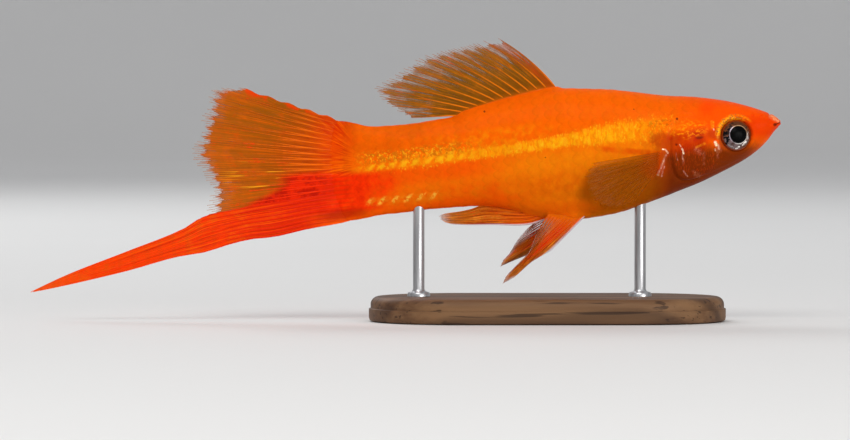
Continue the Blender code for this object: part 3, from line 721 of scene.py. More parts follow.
def build_skin(settings):
    """The whole skin from lips to tail root, with an unwrap of s along and the way round the ring."""
    columns = settings.columns
    near = 3.0 * np.linspace(0, 1, 45)[:-1] ** 1.6
    rows = np.concatenate([near, np.linspace(3.0, SKIN_END, settings.rows)])
    angle = even_angles(rows, columns)
    s = np.repeat(rows[:, None], columns + 1, axis=1)
    # The skin reaches furthest back over the middle of the tail fin's root.
    drawn = s - 1.5 * (bare_skin(s, angle)[..., 2] / 7.0) ** 2 * smooth(s, 58.5, SKIN_END)
    bare = bare_skin(drawn, angle)
    relief = -0.03 + lips_and_mouth(drawn, bare[..., 2], angle) + nostrils(drawn, angle) + orbit(bare)
    relief = relief + gill_cover(drawn, angle) + fin_roots(drawn, angle, bare) + soft_unevenness(drawn, angle)
    points = bare + relief[..., None] * skin_normal(drawn, angle)
    # Rings that close the snout, and the tail end inside the fin's root.
    snout, tail = [], []
    for k in (0.0, 0.35, 0.7, 0.9):
        middle = points[0].mean(axis=0)
        ring = middle + (points[0] - middle) * k
        ring[:, 0] += 0.12 * (1 - k**2) - 0.14 * (1 - k) * hump(ring[:, 2] + 0.03, 0.05)
        snout.append(ring)
    for k in (0.6, 0.0):
        ring = points[-1].copy()
        ring[:, 1] = sway(SKIN_END) + (ring[:, 1] - sway(SKIN_END)) * k
        ring[:, 0] -= 0.15 * (1 - k)
        tail.append(ring)
    grid = np.concatenate([snout, points, tail])
    count = len(grid)
    skin = add_mesh("skin", to_row(grid), grid_faces(count, columns + 1))
    unwrap = skin.data.uv_layers.new(name="skin_wrap")
    u = np.concatenate([[-0.004, -0.003, -0.002, -0.001], rows / SKIN_END, [1.001, 1.002]]) * 0.99 + 0.005
    v = np.linspace(0, 1, columns + 1)
    uv = np.stack(np.meshgrid(u, v, indexing="ij"), axis=-1).reshape(-1, 2)
    corner = np.zeros(len(skin.data.loops), np.int32)
    skin.data.loops.foreach_get("vertex_index", corner)
    unwrap.data.foreach_set("uv", uv[corner].astype(np.float32).ravel())
    turned = np.abs(angle)
    front = through(SCALES_FROM)(turned)
    scaled = smooth(s, front, front + 1.3) * smooth(drawn, 61.0, 59.4)
    scaled = np.concatenate([scaled[:1].repeat(4, 0), scaled, scaled[-1:].repeat(2, 0)])
    add_attribute(skin, "scaled", scaled)
    return skin


def scale_plate():
    """One scale, 2 long and 2 wide: its buried front edge, domed middle and round, thin rear edge."""
    count = 6
    x, y = np.meshgrid(np.linspace(-1, 1, count), np.linspace(-1, 1, count), indexing="ij")
    # Square in front and round behind
    rear = np.clip(x, 0, 1)
    round_y = y * np.sqrt(1 - 0.62 * rear**2)
    round_x = np.where(x > 0, x * np.sqrt(1 - 0.45 * y**2), x)
    height = -1.6 + 2.6 * smooth(round_x, -1.0, 0.55) - 1.1 * (np.abs(y) ** 3) * (1 - 0.4 * rear)
    top = np.stack([round_x, round_y, height], axis=-1).reshape(-1, 3)
    edge = [i * count for i in range(count)] + [(count - 1) * count + j for j in range(1, count)]
    edge += [i * count + count - 1 for i in range(count - 2, -1, -1)] + list(range(count - 2, 0, -1))
    under = top[edge]
    under[:, 2] = -3.0
    lower = {v: len(top) + i for i, v in enumerate(edge)}
    faces = grid_faces(count, count).tolist()
    faces += [(b, a, lower[a], lower[b]) for a, b in zip(edge, edge[1:] + edge[:1])]
    faces.append(tuple(lower[v] for v in edge))
    plate = add_mesh("scale_plate", np.concatenate([top, under]), faces)
    turn_outwards(plate)
    sharp = plate.data.attributes.new("sharp_edge", "BOOLEAN", "EDGE")
    rim = set(edge)
    sharp.data.foreach_set("value", [rim.issuperset(e.vertices) for e in plate.data.edges])
    inner = (1 - y**4) * smooth(x, -0.9, 0.0) * smooth(x, 1.0, 0.45)
    add_attribute(plate, "inner", np.concatenate([inner.ravel(), np.zeros(len(under))]))
    return plate


def scale_tree(material):
    """Rows of scales laid over the skin through its unwrap."""
    tree, given = new_tree("scale rows", (
        ("Skin", "Object", None), ("Along", "Int", 38), ("Around", "Int", 26), ("Length", "Float", 1.5),
        ("Width", "Float", 1.12), ("Lift", "Float", 0.00005), ("Patch", "Float", 0.003), ("Seed", "Int", 5)))
    node = tree.node

    def part(vector, axis):
        return node("ShaderNodeSeparateXYZ", None, vector, out=axis)

    def combine(x, y, z):
        return node("ShaderNodeCombineXYZ", None, x, y, z)

    def vector_maths(operation, *values, **named):
        return node("ShaderNodeVectorMath", {"operation": operation}, *values, **named)

    def read(name, kind="FLOAT"):
        return node("GeometryNodeInputNamedAttribute", {"data_type": kind}, name)

    def store(geometry, name, value, kind="FLOAT", domain="POINT"):
        settings = {"data_type": kind, "domain": domain}
        return node("GeometryNodeStoreNamedAttribute", settings, geometry, Name=name, Value=value)

    def sample(value, spot, kind="FLOAT"):
        return node("GeometryNodeSampleUVSurface", {"data_type": kind}, skin, value, unwrap, spot)

    # Points of the unwrap that carry a scale, every second column half a step round
    along, around = given["Along"], given["Around"]
    here = node("GeometryNodeInputPosition")
    x, y = part(here, "X") + 0.5, part(here, "Y") + 0.5
    odd = tree.maths("MODULO", tree.maths("ROUND", x * (along - 1)), 2.0)
    points = node("GeometryNodeMeshGrid", None, 1.0, 1.0, along, around)
    spot = combine(x, (y * (around - 1) + odd * 0.5) / around, 0.0)
    points = node("GeometryNodeSetPosition", None, points, Position=spot)
    skin = node("GeometryNodeObjectInfo", {"transform_space": "ORIGINAL"}, given["Skin"], out="Geometry")
    unwrap = read("skin_wrap", "FLOAT_VECTOR")
    kept = sample(read("scaled"), here)
    points = store(store(points, "root", here, "FLOAT_VECTOR"), "rise", kept)
    tone = node("FunctionNodeRandomValue", {"data_type": "FLOAT"}, out=1, Seed=given["Seed"])
    bare = node("FunctionNodeCompare", {"operation": "LESS_THAN"}, kept, 0.35)
    points = node("GeometryNodeDeleteGeometry", {"domain": "POINT"}, store(points, "tone", tone), bare)
    stretch = combine(given["Length"] / along * 0.5, given["Width"] / around * 0.5, 1.0)
    rows = node("GeometryNodeInstanceOnPoints", None, points, Instance=given["Geometry"], Scale=stretch)
    rows = node("GeometryNodeRealizeInstances", None, rows)
    # Each scale's own patch of the bake's map, in its place in the unwrap
    root = read("root", "FLOAT_VECTOR")
    patch = vector_maths("SCALE", vector_maths("SUBTRACT", here, root), Scale=given["Patch"] * along)
    rows = store(rows, "OFBake", vector_maths("ADD", root, patch), "FLOAT2", "CORNER")
    # The flat rows laid over the skin
    place = combine(part(here, "X"), tree.maths("FRACT", part(here, "Y")), 0.0)
    ground = sample(here, place, "FLOAT_VECTOR")
    outwards = sample(node("GeometryNodeInputNormal"), place, "FLOAT_VECTOR")
    lifted = vector_maths("SCALE", outwards, Scale=part(here, "Z") * given["Lift"] * read("rise"))
    rows = node("GeometryNodeSetPosition", None, rows, Position=vector_maths("ADD", ground, lifted))
    end_tree(tree, node("GeometryNodeSetShadeSmooth", None, rows), material)
    return tree


def flank_tint(m, colours, s, h):
    """The colours of the flank and tail, which the roots of the tail fin share, and the golden band."""
    drift = (m.noise(160) - 0.5) * 2.2
    ss, hh = s + drift, h + drift * 0.35
    mottle, blotch = m.noise(420, 4, 0.6), m.noise(800, 3, 0.6)
    ragged, uneven = (m.noise(900, 3, 0.6) - 0.5) * 0.9, (m.noise(420) - 0.5) * 2.2
    low_red = m.step(hh, 0.4, -0.9) * m.step(ss, 34, 45) * m.step(hh, -4.6, -1.8)
    upper = m.window(h, 1.8, 6.8, 1.2) * m.window(s, 45, 62, 4)
    # The golden band, made of rows of bright scales
    off_band = abs(h - m.profile(s, BAND_MIDDLE, -3, 3) + ragged) / m.profile(s, BAND_REACH, 0, 3)
    on_band = m.step(off_band, 1.3, 0.5) * m.step(ss, 12, 25) * m.step(ss, 61, 52)
    flecks = m.patches(2100, 0.42, 0.60, 2, 0.5, (1.6, 1, 0.55))
    glitter = m.patches(3100, 0.56, 0.68, 2, 0.6, (1.3, 1, 0.7))
    sprinkled = glitter * m.window(off_band, -1, 1.7, 0.5) * m.step(s, 10, 17) * m.step(s, 61, 54)
    above = m.oval(ss, hh, (40, 2.4), (9, 1.1), 0.6) * m.patches(700, 0.4, 0.62)
    # Behind, the band is a row of bright wedges under olive and gold speckles
    behind = m.step(ss, 40, 47) * m.step(s, 60.5, 57)
    speckled = behind * m.window(hh, 0.6, 2.2, 0.4)
    wedges = m.step(m.repeat(s + h * 0.7 + uneven, 1.63), 0.1, 0.7)
    wedges = wedges * m.window(h + (s - 44) * 0.025, -0.05, 0.75, 0.25)
    # The tail's red lower half, with a row of glints along its foot
    red = m.step(ss + (mottle - 0.5) * 10, 50, 60) * m.window(hh - m.step(s, 56, 68) * 0.7, -6.4, -0.55, 0.55)
    stalk = m.coats(colours.stalk, ((0.74, 0.014, 0.001), m.step(blotch, 0.46, 0.68) * 0.6),
                    ((0.96, 0.070, 0.001), m.step(blotch, 0.46, 0.30) * 0.5))
    low_flank = m.step(hh, -2.6, -4.4) * m.window(ss, 38, 62, 4)
    brownish = m.window(hh, -7.0, -3.4, 1.2) * m.window(ss, 27.5, 38, 2)
    row = m.window(h + ragged * 0.5, -5.15, -4.3, 0.3) * m.window(s, 48.6, 58.6, 0.8)
    glints = m.step(m.repeat(s + (h + 4.7) * 0.9 - 0.1 + uneven * 0.2, 1.85), 0.45, 0.85) * row
    # Bases of the tail fin's rays seen through the skin, and red streaks that spread from the tail's root
    stripes = m.maths("COSINE", (FAN_ROOT_TOP - h) * (16 * 2 * math.pi / (FAN_ROOT_TOP - FAN_FOOT[0][1])))
    way = m.maths("ARCTAN2", h - 0.7, s - 56.9) * 9
    spread = m.texture(m.node("ShaderNodeCombineXYZ", None, way, s * 0.12, 0.0), 2.4, 2, 0.6)
    rooted = m.window(s, 60.4, 66.5, 1.0) * m.step(h, -0.9, -0.3)
    tint = m.coats(
        colours.back,
        (colours.flank, m.step(hh, 1.2, -1.6) * m.step(s, 13, 18)),
        ((0.93, 0.082, 0.001), low_red * 0.85),
        ((0.76, 0.100, 0.001), upper * (0.25 + 0.55 * m.patches(330, 0.36, 0.6, 3, 0.5))),
        (colours.band, on_band * (0.45 + 0.5 * flecks) * m.step(s, 62, 30)),
        ((1.0, 0.50, 0.015), sprinkled * m.step(off_band, 1.7, 0.8) * 0.6),
        ((0.92, 0.24, 0.002), above * 0.7),
        ((0.60, 0.15, 0.004), speckled * m.patches(1900, 0.45, 0.56, 3, 0.65) * 0.75),
        ((1.0, 0.40, 0.010), speckled * m.patches(2700, 0.54, 0.63, 2) * 0.7),
        ((1.0, 0.42, 0.006), behind * wedges * (0.3 + 0.6 * m.patches(1400, 0.38, 0.56))),
        (stalk, red),
        ((0.90, 0.098, 0.001), low_flank * (0.5 + 0.5 * m.step(mottle, 0.35, 0.6)) * (1 - red)),
        ((0.80, 0.120, 0.001), brownish * (0.35 + 0.45 * m.patches(600, 0.38, 0.6))),
        # The tail's underside, painted lighter to stand in for light from below
        (colours.lit_keel, m.step(h, -5.3, -6.3) * m.step(s, 34, 42)),
        ((0.42, 0.008, 0.001), m.oval(ss, h + ragged * 0.3, (62.4, -6.0), (3.6, 0.75), 0.6) * 0.8),
        ((0.68, 0.013, 0.001), m.oval(s, h, (66.5, -2.4), (4.0, 1.8), 0.6) * 0.8),
        ((0.90, 0.20, 0.006), row * m.patches(1900, 0.42, 0.56, 3, 0.65) * 0.6),
        ((1.0, 0.46, 0.04), glints * m.patches(2400, 0.36, 0.56, 2)),
        ((0.62, 0.030, 0.002), m.step(stripes, 0.1, -0.9) * m.window(s, 60.8, 68, 1.2) * 0.45),
        ((0.52, 0.026, 0.001), m.oval(ss, hh, (63.8, 7.0), (4.2, 1.3), 0.6) * 0.75),
        ((0.76, 0.052, 0.001), m.oval(ss, hh, (63.0, 4.4), (3.4, 2.6), 0.5) * 0.7),
        ((0.62, 0.022, 0.001), m.step(spread, 0.50, 0.62) * rooted * 0.7),
        ((1.0, 0.15, 0.002), m.step(spread, 0.46, 0.36) * rooted * 0.5))
    return tint, on_band, flecks, ragged


def front_tint(m, tint, colours, s, h, on_band, ragged, fibres):
    """The colours of the head and belly, laid over the flank's."""
    mottle, drift = m.noise(420, 4, 0.6), (m.noise(160) - 0.5) * 2.2
    ss, hh = s + drift, h + drift * 0.5
    crown = m.step(ss, 17, 8) * m.step(h, -3.0, -0.5)
    low = m.maths("MAXIMUM", hh, -6.2)
    # Dark gut seen through the skin, drawn out over the pectoral fin's place as its painted shadow
    gut_and_fin_shadow = m.step(ss + (low + 2.2) * 0.62, 27.8, 25.6) * m.step(hh, -2.4, -3.9) * m.step(ss, 15.5, 18.5)
    under_band = m.streak(s, h + ragged * 0.6, (17.2, -2.45), (25.0, -1.0), 0.6) * m.step(mottle, 0.3, 0.6)
    lit_vent, snout = m.oval(ss, h, (34, -8.8), (6.5, 1.5), 0.5), m.oval(ss, hh, (2.4, -0.3), (3.2, 1.5), 0.5)
    gill = m.step(ss, 9.6, 11.4) * m.step(ss, 19.0, 15.5) * m.step(hh, 0.9, -0.5)
    rusty = m.oval(ss, hh, (16.8, -0.5), (2.2, 1.4), 0.5) * m.patches(700, 0.34, 0.56)
    # Painted shade under the head and breast
    throat_shade = m.step(ss, 1.6, 5.5) * m.step(ss, 20.0, 16.0) * m.step(hh + (fibres - 0.5) * 1.2, -1.3, -3.5)
    warm = m.step(fibres, 0.50, 0.64) * m.oval(ss, hh, (12.6, -3.6), (3.6, 2.4), 0.3)
    fin_root = m.oval(ss, hh, (18.7, -3.7), (1.5, 1.7), 0.5) * m.step(mottle, 0.3, 0.55)
    return m.coats(
        tint,
        (colours.crown, crown * (1 - on_band * 0.8)),
        (colours.belly, gut_and_fin_shadow * m.step(h, -10.4, -8.8) ** 0.5 * (0.74 + 0.26 * mottle)),
        ((0.76, 0.045, 0.001), under_band * 0.65),
        # The orange belly round the vent, painted lighter to stand in for light from below
        ((1.0, 0.15, 0.002), lit_vent * 0.85),
        ((0.78, 0.040, 0.001), snout * 0.8),
        (colours.gill, gill * (0.70 + 0.3 * m.step(mottle, 0.35, 0.6))),
        ((0.50, 0.055, 0.002), rusty * 0.8),
        (colours.throat_shade, throat_shade * 0.96),
        ((0.52, 0.050, 0.004), warm * 0.55),
        ((0.60, 0.050, 0.001), fin_root * 0.75))


def head_marks(m, tint, colours, s, h, fine, fibres):
    """Bright and dark marks of the head: pinkish glows, thin pale threads, glints and spots. It also gives
    where the glints are."""
    at, speck = s - 0.2, m.noise(6500, 2, 0.6)
    ss = s + (m.noise(160) - 0.5) * 2.2
    bend, broken = at + (m.noise(900, 1) - 0.5) * 0.35, m.patches(2300, 0.44, 0.58, 2)
    for colour, grain, soft, marks in (
        ((0.60, 0.19, 0.09), m.step(speck, 0.40, 0.58), 0.0, GLOWS),
        ((0.78, 0.42, 0.30), m.step(fibres, 0.42, 0.56), 0.2, THREADS),
        (colours.silver, m.step(speck, 0.30, 0.48), 0.3, GLINTS),
    ):
        amount = 0
        for start, end, width, strength in marks:
            amount = amount + m.step(m.off_line(bend, h, start, end), width, width * soft) * strength
        amount = m.clamp(amount * (0.15 + 0.85 * grain) * (0.45 + 0.55 * broken))
        tint = m.mix(tint, colour, amount)
    for start, end, width, strength in GOLD_STREAKS:
        gold = m.streak(bend, h, start, end, width) * strength * (0.4 + 0.6 * broken)
        tint = m.mix(tint, (0.98, 0.32, 0.008), gold)
    speckles = m.patches(2400, 0.48, 0.60, 3, 0.65, (0.7, 1, 1.2))
    tint = m.coats(
        tint,
        ((1.0, 0.30, 0.004), m.oval(ss, h, (12.9, 0.4), (2.6, 1.1), 0.4) * speckles * 0.7),
        ((0.45, 0.085, 0.004), m.oval(s, h, (16.6, 1.75), (1.9, 0.5), 0.5) * m.step(fine, 0.44, 0.56) * 0.6),
        ((0.98, 0.050, 0.001), m.oval(s, h, (10.0, 3.1), (1.0, 0.9), 0.7) * 0.6))
    for centre, radii, strength in DARK_SPOTS:
        tint = m.mix(tint, (0.12, 0.010, 0.003), m.oval(at, h, centre, radii, 0.5) * strength)
    tint = m.mix(tint, (0.52, 0.035, 0.002), m.oval(at, h, (9.3, -0.6), (0.9, 0.75), 0.5) * 0.8)
    return tint, amount


def eye_surround(m, tint, s, h, fine):
    """The skin round the eye: a gold rim above, brown below and painted shade in the socket under the
    eyeball's edge.
    It also gives where the gold is."""
    eye_s, eye_h = s - EYE_S, h + 1.15
    ring = (eye_s * eye_s + eye_h * eye_h) ** 0.5
    ring = ring + (fine - 0.5) * 0.35
    arc, behind = m.step(eye_h + eye_s * 0.5, 1.0, 1.7), m.step(eye_s, -0.7, 0.9)
    gold = m.step(ring, 2.0, 2.15) * m.step(ring - 0.3 * behind, 2.65, 2.35) * arc * m.step(eye_s, -1.9, -1.1)
    outer = m.window(ring - 0.15 * behind, 2.62, 2.92, 0.1) * m.step(eye_h + eye_s * 0.3, 0.8, 1.6) * 0.45
    gold = m.clamp(gold + outer)
    brow = m.window(ring, 2.42, 2.62, 0.09) * m.step(eye_h, 1.5, 2.1) * m.patches(1700, 0.34, 0.5, 2, 0.5)
    smoky = m.window(ring, 2.3, 3.0, 0.3) * m.step(eye_h + eye_s * 0.5, 0.8, 2.0)
    below = m.window(ring, 2.2, 2.65, 0.2) * (1 - arc) * m.step(eye_s + eye_h * 0.3, 0.4, 1.8)
    tint = m.coats(
        tint,
        ((1.0, 0.36, 0.006), gold * (0.15 + 0.85 * m.patches(3000, 0.38, 0.54, 3, 0.65))),
        ((0.42, 0.075, 0.002), brow * 0.8),
        ((0.28, 0.12, 0.03), smoky * m.patches(3300, 0.52, 0.6, 3, 0.65) * 0.8),
        ((0.36, 0.050, 0.006), below * 0.75),
        # Painted shade in the socket under the eyeball's edge
        ((0.30, 0.045, 0.004), m.step(ring, 2.14, 2.0) * 0.8))
    return tint, gold


def skin_finish(name, colours, scales=False):
    """The painted skin. Its markings lie in the fish's own frame, so that skin and scales carry the same."""
    m = Finish(name)
    s, h = m.side_view()
    mottle, fine = m.noise(420, 4, 0.6), m.noise(2600, 3, 0.6)
    fibres = m.noise(2600, 3, 0.6, (3.2, 1, 0.55), turn=-18)
    tint, on_band, flecks, ragged = flank_tint(m, colours, s, h)
    tint = front_tint(m, tint, colours, s, h, on_band, ragged, fibres)
    tint, glints = head_marks(m, tint, colours, s, h, fine, fibres)
    tint, orbit_gold = eye_surround(m, tint, s, h, fine)
    lips = m.streak(s, h, (1.15, 0.95), (0.3, 0.3), 0.5)
    mouth = m.streak(s, h, (-0.5, 0.07), (0.85, -0.25), 0.09) * m.step(s, 1.2, 0.7)
    pepper = m.patches(5200, 0.64, 0.72, 1, 0.5) * m.window(h, -8.0, -4.6, 0.8) * m.window(s, 5, 15, 2)
    tint = m.coats(
        tint,
        ((0.95, 0.36, 0.15), lips * (0.25 + 0.6 * m.step(fine, 0.4, 0.6))),
        # Painted shade in the mouth's corner and along the cleft between the lips
        ((0.10, 0.012, 0.004), m.oval(s, h, (0.78, -0.25), (0.26, 0.2), 0.6) * 0.9),
        ((0.30, 0.020, 0.004), mouth),
        ((0.03, 0.010, 0.005), pepper * 0.75))
    # Slight changes of depth everywhere
    shade = 0.88 + 0.18 * mottle + 0.08 * fine
    green = 0.68 + 0.34 * m.noise(1300, 3, 0.6) + 0.30 * m.noise(4200, 2, 0.6)
    if scales:
        tone, inner = m.attribute("tone"), m.attribute("inner")
        shade = shade * (0.97 + 0.06 * tone) * (0.94 + 0.08 * inner)
        # Gold in the middle of each band scale: partly the band's own gold, partly a painted highlight on
        # each scale
        gold = m.step(inner * 0.8 + tone * 0.25 + (m.noise(1500, 3, 0.6) - 0.5) * 1.1, 0.45, 0.95) * on_band
        tint = m.mix(tint, (1.0, 0.50, 0.012), gold * (0.10 + 0.3 * m.window(s, 26, 38, 6)))
    tint = m.shaded(tint, shade, shade * green, shade)
    gleam = m.clamp(glints + orbit_gold * 0.4 + on_band * flecks * 0.3)
    m.set(Base_Color=tint, Metallic=gleam * 0.5, Roughness=0.42 - gleam * 0.14 + (fine - 0.5) * 0.12,
          Coat_Weight=0.005 + mottle * 0.015, Coat_Roughness=0.14, Specular_IOR_Level=0.025,
          Specular_Tint=(1.0, 0.45, 0.1), Subsurface_Weight=0.12, Subsurface_Radius=(1.0, 0.32, 0.08),
          Subsurface_Scale=0.0011, Normal=m.bump(fine + m.noise(9000, 2) * 0.4, 0.00002, 0.35))
    return m.material


class SWORDTAIL_OT_skin(bpy.types.Operator):
    """Build one skin over the head, trunk and tail, and lay the scales on it"""
    bl_idname = "swordtail.skin"
    bl_label = "Skin and scales"

    def execute(self, context):
        colours, values = context.scene.swordtail_skin, context.scene.swordtail_scales
        skin = build_skin(colours)
        paint(skin, skin_finish("skin", colours))
        tree = scale_tree(skin_finish("scales", colours, scales=True))
        scales = grow(scale_plate(), tree, {
            "Skin": skin, "Along": values.columns, "Around": values.rows, "Length": values.length,
            "Width": values.width, "Lift": values.lift, "Seed": values.seed}, "scales")
        covers = ("gill_cover_left", "gill_cover_right")
        finish_piece(skin, "orange_skin", "head", "trunk", "tail_stalk", *covers)
        finish_piece(scales, "orange_skin")
        return {"FINISHED"}


# Eyes


def ball_rings(points, poles):
    """Points and faces of rings that two poles close, the first pole beside the first ring."""
    rows, sides = points.shape[:2]
    faces = grid_faces(rows, sides, closed=True, first=2).tolist()
    last = 2 + (rows - 1) * sides
    faces += [(0, 2 + i, 2 + (i + 1) % sides) for i in range(sides)]
    faces += [(1, last + (i + 1) % sides, last + i) for i in range(sides)]
    return np.concatenate([poles, points.reshape(-1, 3)]), faces


def build_eye(name, side, settings):
    """An eyeball with a domed pupil, a ring step and a shallow iris, in its socket."""
    radius, depth, sunk = (value / MM for value in (settings.radius, settings.depth, settings.sunk))
    pupil = settings.pupil / MM
    centre = skin_point(EYE_S, side * EYE_ANGLE, -sunk)
    axis = skin_normal(EYE_S, side * EYE_ANGLE)
    fore = np.array([1.0, 0.0, 0.0]) - axis[0] * axis
    fore /= np.linalg.norm(fore)
    rise = np.cross(fore, axis) * -side
    rise = rise if rise[2] > 0 else -rise
    turns = np.arange(96) * 2 * np.pi / 96
    r_front = radius * np.sin(np.linspace(0, np.pi / 2, 40)[1:])
    front = depth * np.sqrt(np.clip(1 - (r_front / radius) ** 2, 0, 1))
    dome = 0.10
    front = front + dome * smooth(r_front, pupil + 0.05, pupil * 0.5)
    front = front - 0.05 * hump(r_front - pupil - 0.45, 0.3)
    r_back = radius * np.cos(np.linspace(0, np.pi / 2, 14)[1:-1])
    rear = -depth * np.sqrt(np.clip(1 - (r_back / radius) ** 2, 0, 1))
    r, z = np.concatenate([r_front, r_back]), np.concatenate([front, rear])
    x, up = r[:, None] * np.cos(turns), r[:, None] * np.sin(turns)
    rings = centre + x[..., None] * fore + up[..., None] * rise + z[:, None, None] * axis
    poles = np.stack([centre + (depth + dome) * axis, centre - depth * axis])
    points, faces = ball_rings(rings, poles)
    eye = add_mesh(name, to_row(points), faces)
    turn_outwards(eye)
    front_side = (z > 0)[:, None] * np.ones(len(turns))
    for key, at_poles, values in (("fore", (0, 0), x), ("rise", (0, 0), up), ("front", (1, 0), front_side)):
        add_attribute(eye, key, np.concatenate([at_poles, values.ravel()]))
    return eye


def eye_finish(settings):
    m = Finish("eye")
    fore, rise, front = m.attribute("fore"), m.attribute("rise"), m.attribute("front")
    radius, pupil = settings.radius / MM, settings.pupil / MM
    r = (fore * fore + rise * rise) ** 0.5
    off_fore, off_rise = fore - 0.13, rise - 0.10
    off = (off_fore * off_fore + off_rise * off_rise) ** 0.5
    grain, coarse = m.noise(3000, 4, 0.65), m.noise(1500, 2, 0.5)
    # Black flecks behind, violet grey below, silver below and in front
    violet = m.step(rise, 0.4, -0.6) * m.step(fore, 0.9, -0.2) * m.step(coarse, 0.30, 0.5)
    black = m.step(rise - fore * 1.3, 0.3, 1.1) * m.step(fore, 0.3, -0.5)
    black = black * m.patches(2300, 0.50, 0.55, 2, 0.5)
    rusty = m.step(rise - fore * 0.2, 0.5, 1.3) * m.step(fore, -0.9, 0.1)
    silver = 0
    for start, end, width, strength in SILVER_STREAKS:
        silver = silver + m.streak(fore, rise, start, end, width) * strength
    silver = m.clamp(silver * (0.15 + 0.85 * m.patches(4200, 0.42, 0.52, 2, 0.5)))
    # Thin bright ring round the pupil, golden above and silver below
    ring = m.window(off, pupil + 0.02, pupil + 0.11, 0.04)
    bright = m.coats(settings.silver, (settings.gold, m.step(off_rise + off_fore * 0.5, 0.1, 1.0) * 0.75),
                     ((0.48, 0.42, 0.55), m.step(off_fore, -0.2, -0.9) * 0.8))
    tint = m.coats(
        settings.iris,
        ((0.20, 0.055, 0.014), m.step(grain, 0.40, 0.60) * 0.8),
        ((0.21, 0.16, 0.17), violet * 0.75),
        ((0.001, 0.002, 0.004), black),
        ((0.10, 0.028, 0.007), rusty * 0.85),
        (settings.silver, silver),
        ((0.30, 0.045, 0.004), m.step(r, radius - 0.26, radius - 0.12) * 0.9),
        (bright, ring * (0.40 + 0.45 * m.step(coarse, 0.3, 0.55))),
        ((0.0015, 0.0015, 0.0015), m.step(off, pupil + 0.03, pupil - 0.03)))
    shine = m.clamp(ring + silver)
    m.set(Base_Color=m.mix((0.02, 0.01, 0.01), tint, front),
          Metallic=ring * 0.5, Roughness=0.35 - shine * 0.1,
          Specular_IOR_Level=0.04, Coat_Weight=0.02 + 0.3 * m.step(off, pupil, pupil + 0.1),
          Coat_Roughness=0.03, Coat_IOR=1.34, Normal=m.bump(grain, 0.00003, 0.3))
    return m.material


class SWORDTAIL_OT_eyes(bpy.types.Operator):
    """Build both eyes in their sockets"""
    bl_idname = "swordtail.eyes"
    bl_label = "Eyes"

    def execute(self, context):
        settings = context.scene.swordtail_eye
        material = eye_finish(settings)
        for word, side in (("left", 1), ("right", -1)):
            eye = build_eye("eyeball_" + word, side, settings)
            paint(eye, material)
            finish_piece(eye, "eye", "eye_" + word)
        return {"FINISHED"}


# Fins


class FinSheet:
    """The middle surface of a fin. at(across, u) gives points of the fish's frame from ray to ray and from
    root to tip, and normal is the side that its sheet faces."""

    def __init__(self, at, rays, normal=None):
        self.at = at
        self.rays = rays
        self.fixed = normal

    def normal(self, across, u):
        if self.fixed is not None:
            return np.broadcast_to(np.array(self.fixed, float), np.broadcast(across, u).shape + (3,))
        step = 1e-3
        over = self.at(across + step, u) - self.at(across - step, u)
        along = self.at(across, u + step) - self.at(across, u - step)
        found = np.cross(over, along)
        return found / np.linalg.norm(found, axis=-1, keepdims=True)


def upright(root, tip, bow, rays, ripple=0.0):
    """A fan of rays on the fish's middle plane. bow gives how far the first and last ray bend forwards, and
    ripple how deep the front margin's waves are."""

    def at(across, u):
        across, u = np.broadcast_arrays(np.asarray(across, float), np.asarray(u, float))
        inside = np.clip(across, 0, 1)
        start, end = root(inside), tip(inside)
        chord = end - start
        forwards = np.stack([-chord[..., 1], chord[..., 0]], axis=-1)
        forwards = forwards * (bow[0] + (bow[1] - bow[0]) * inside)[..., None]
        flat = start + u[..., None] * chord + (4 * u * (1 - u))[..., None] * forwards
        dip = ripple * np.sin(np.pi * 5.5 * u**0.9) ** 2 * smooth(across, 0.07, 0.0)
        return fish_point(flat[..., 0], 0.0, flat[..., 1] - dip)

    return FinSheet(at, rays, (0, 1, 0))


def flank_fin(side, root_s, root_angle, tips, rays, cup):
    """A fin that stands out from one flank. tips are (share, s, h, y) of the ray ends."""
    share_along, tip_s, tip_h, tip_y = zip(*tips)
    ends = [through(tuple(zip(share_along, values))) for values in (tip_s, tip_y, tip_h)]

    def at(across, u):
        across, u = np.broadcast_arrays(np.asarray(across, float), np.asarray(u, float))
        inside = np.clip(across, 0, 1)
        end = fish_point(ends[0](inside), side * ends[1](inside), ends[2](inside))
        s0 = root_s[0] + (root_s[1] - root_s[0]) * inside
        angle0 = side * (root_angle[0] + (root_angle[1] - root_angle[0]) * inside)
        start = skin_point(s0, angle0, 0 * s0 - 0.1)
        length = np.linalg.norm(end - start, axis=-1)
        out = np.array([0.0, side, 0.0]) * (cup * 4 * u * (1 - u) * length)[..., None]
        return start + u[..., None] * (end - start) + out

    return FinSheet(at, rays)


def membrane(name, sheet, settings, fray=0.06, per_ray=8, rows=30, billow=0.05, root_half=0.3):
    """The thin sheet between the rays: firm at its root, sagging between rays, frayed at its margin."""
    gaps = sheet.rays - 1
    across = np.linspace(0, 1, gaps * per_ray + 1)
    between = np.abs(np.sin(np.pi * across * gaps))
    small = np.abs(np.sin(4 * np.pi * across * gaps))
    draws = np.random.default_rng(MARGIN_SEED).uniform(0, 1, len(across))
    edge = 1 - fray * (0.3 + 0.5 * between + 0.45 * small + 0.5 * draws)
    t = np.linspace(0, 1, rows)[:, None]
    u = edge * t
    middle, normal = sheet.at(across, u), sheet.normal(across, u)
    turn = np.where(np.arange(len(across)) // per_ray % 2, 1, -1)
    sag = billow * between * np.sin(np.pi * np.clip(u * 1.1, 0, 1)) * turn
    half = settings.membrane / MM + root_half * np.clip(1 - u / 0.1, 0, 1) ** 2
    half = half * (1 - 0.6 * smooth(t, 0.85, 1.0))
    front = middle + (sag + half)[..., None] * normal
    rear = middle + (sag - half)[..., None] * normal
    obj = close_sheet(name, front, rear, np.broadcast_to(across, u.shape), u)
    add_attribute(obj, "gap", np.tile(np.broadcast_to(between, u.shape).ravel(), 2))
    return obj


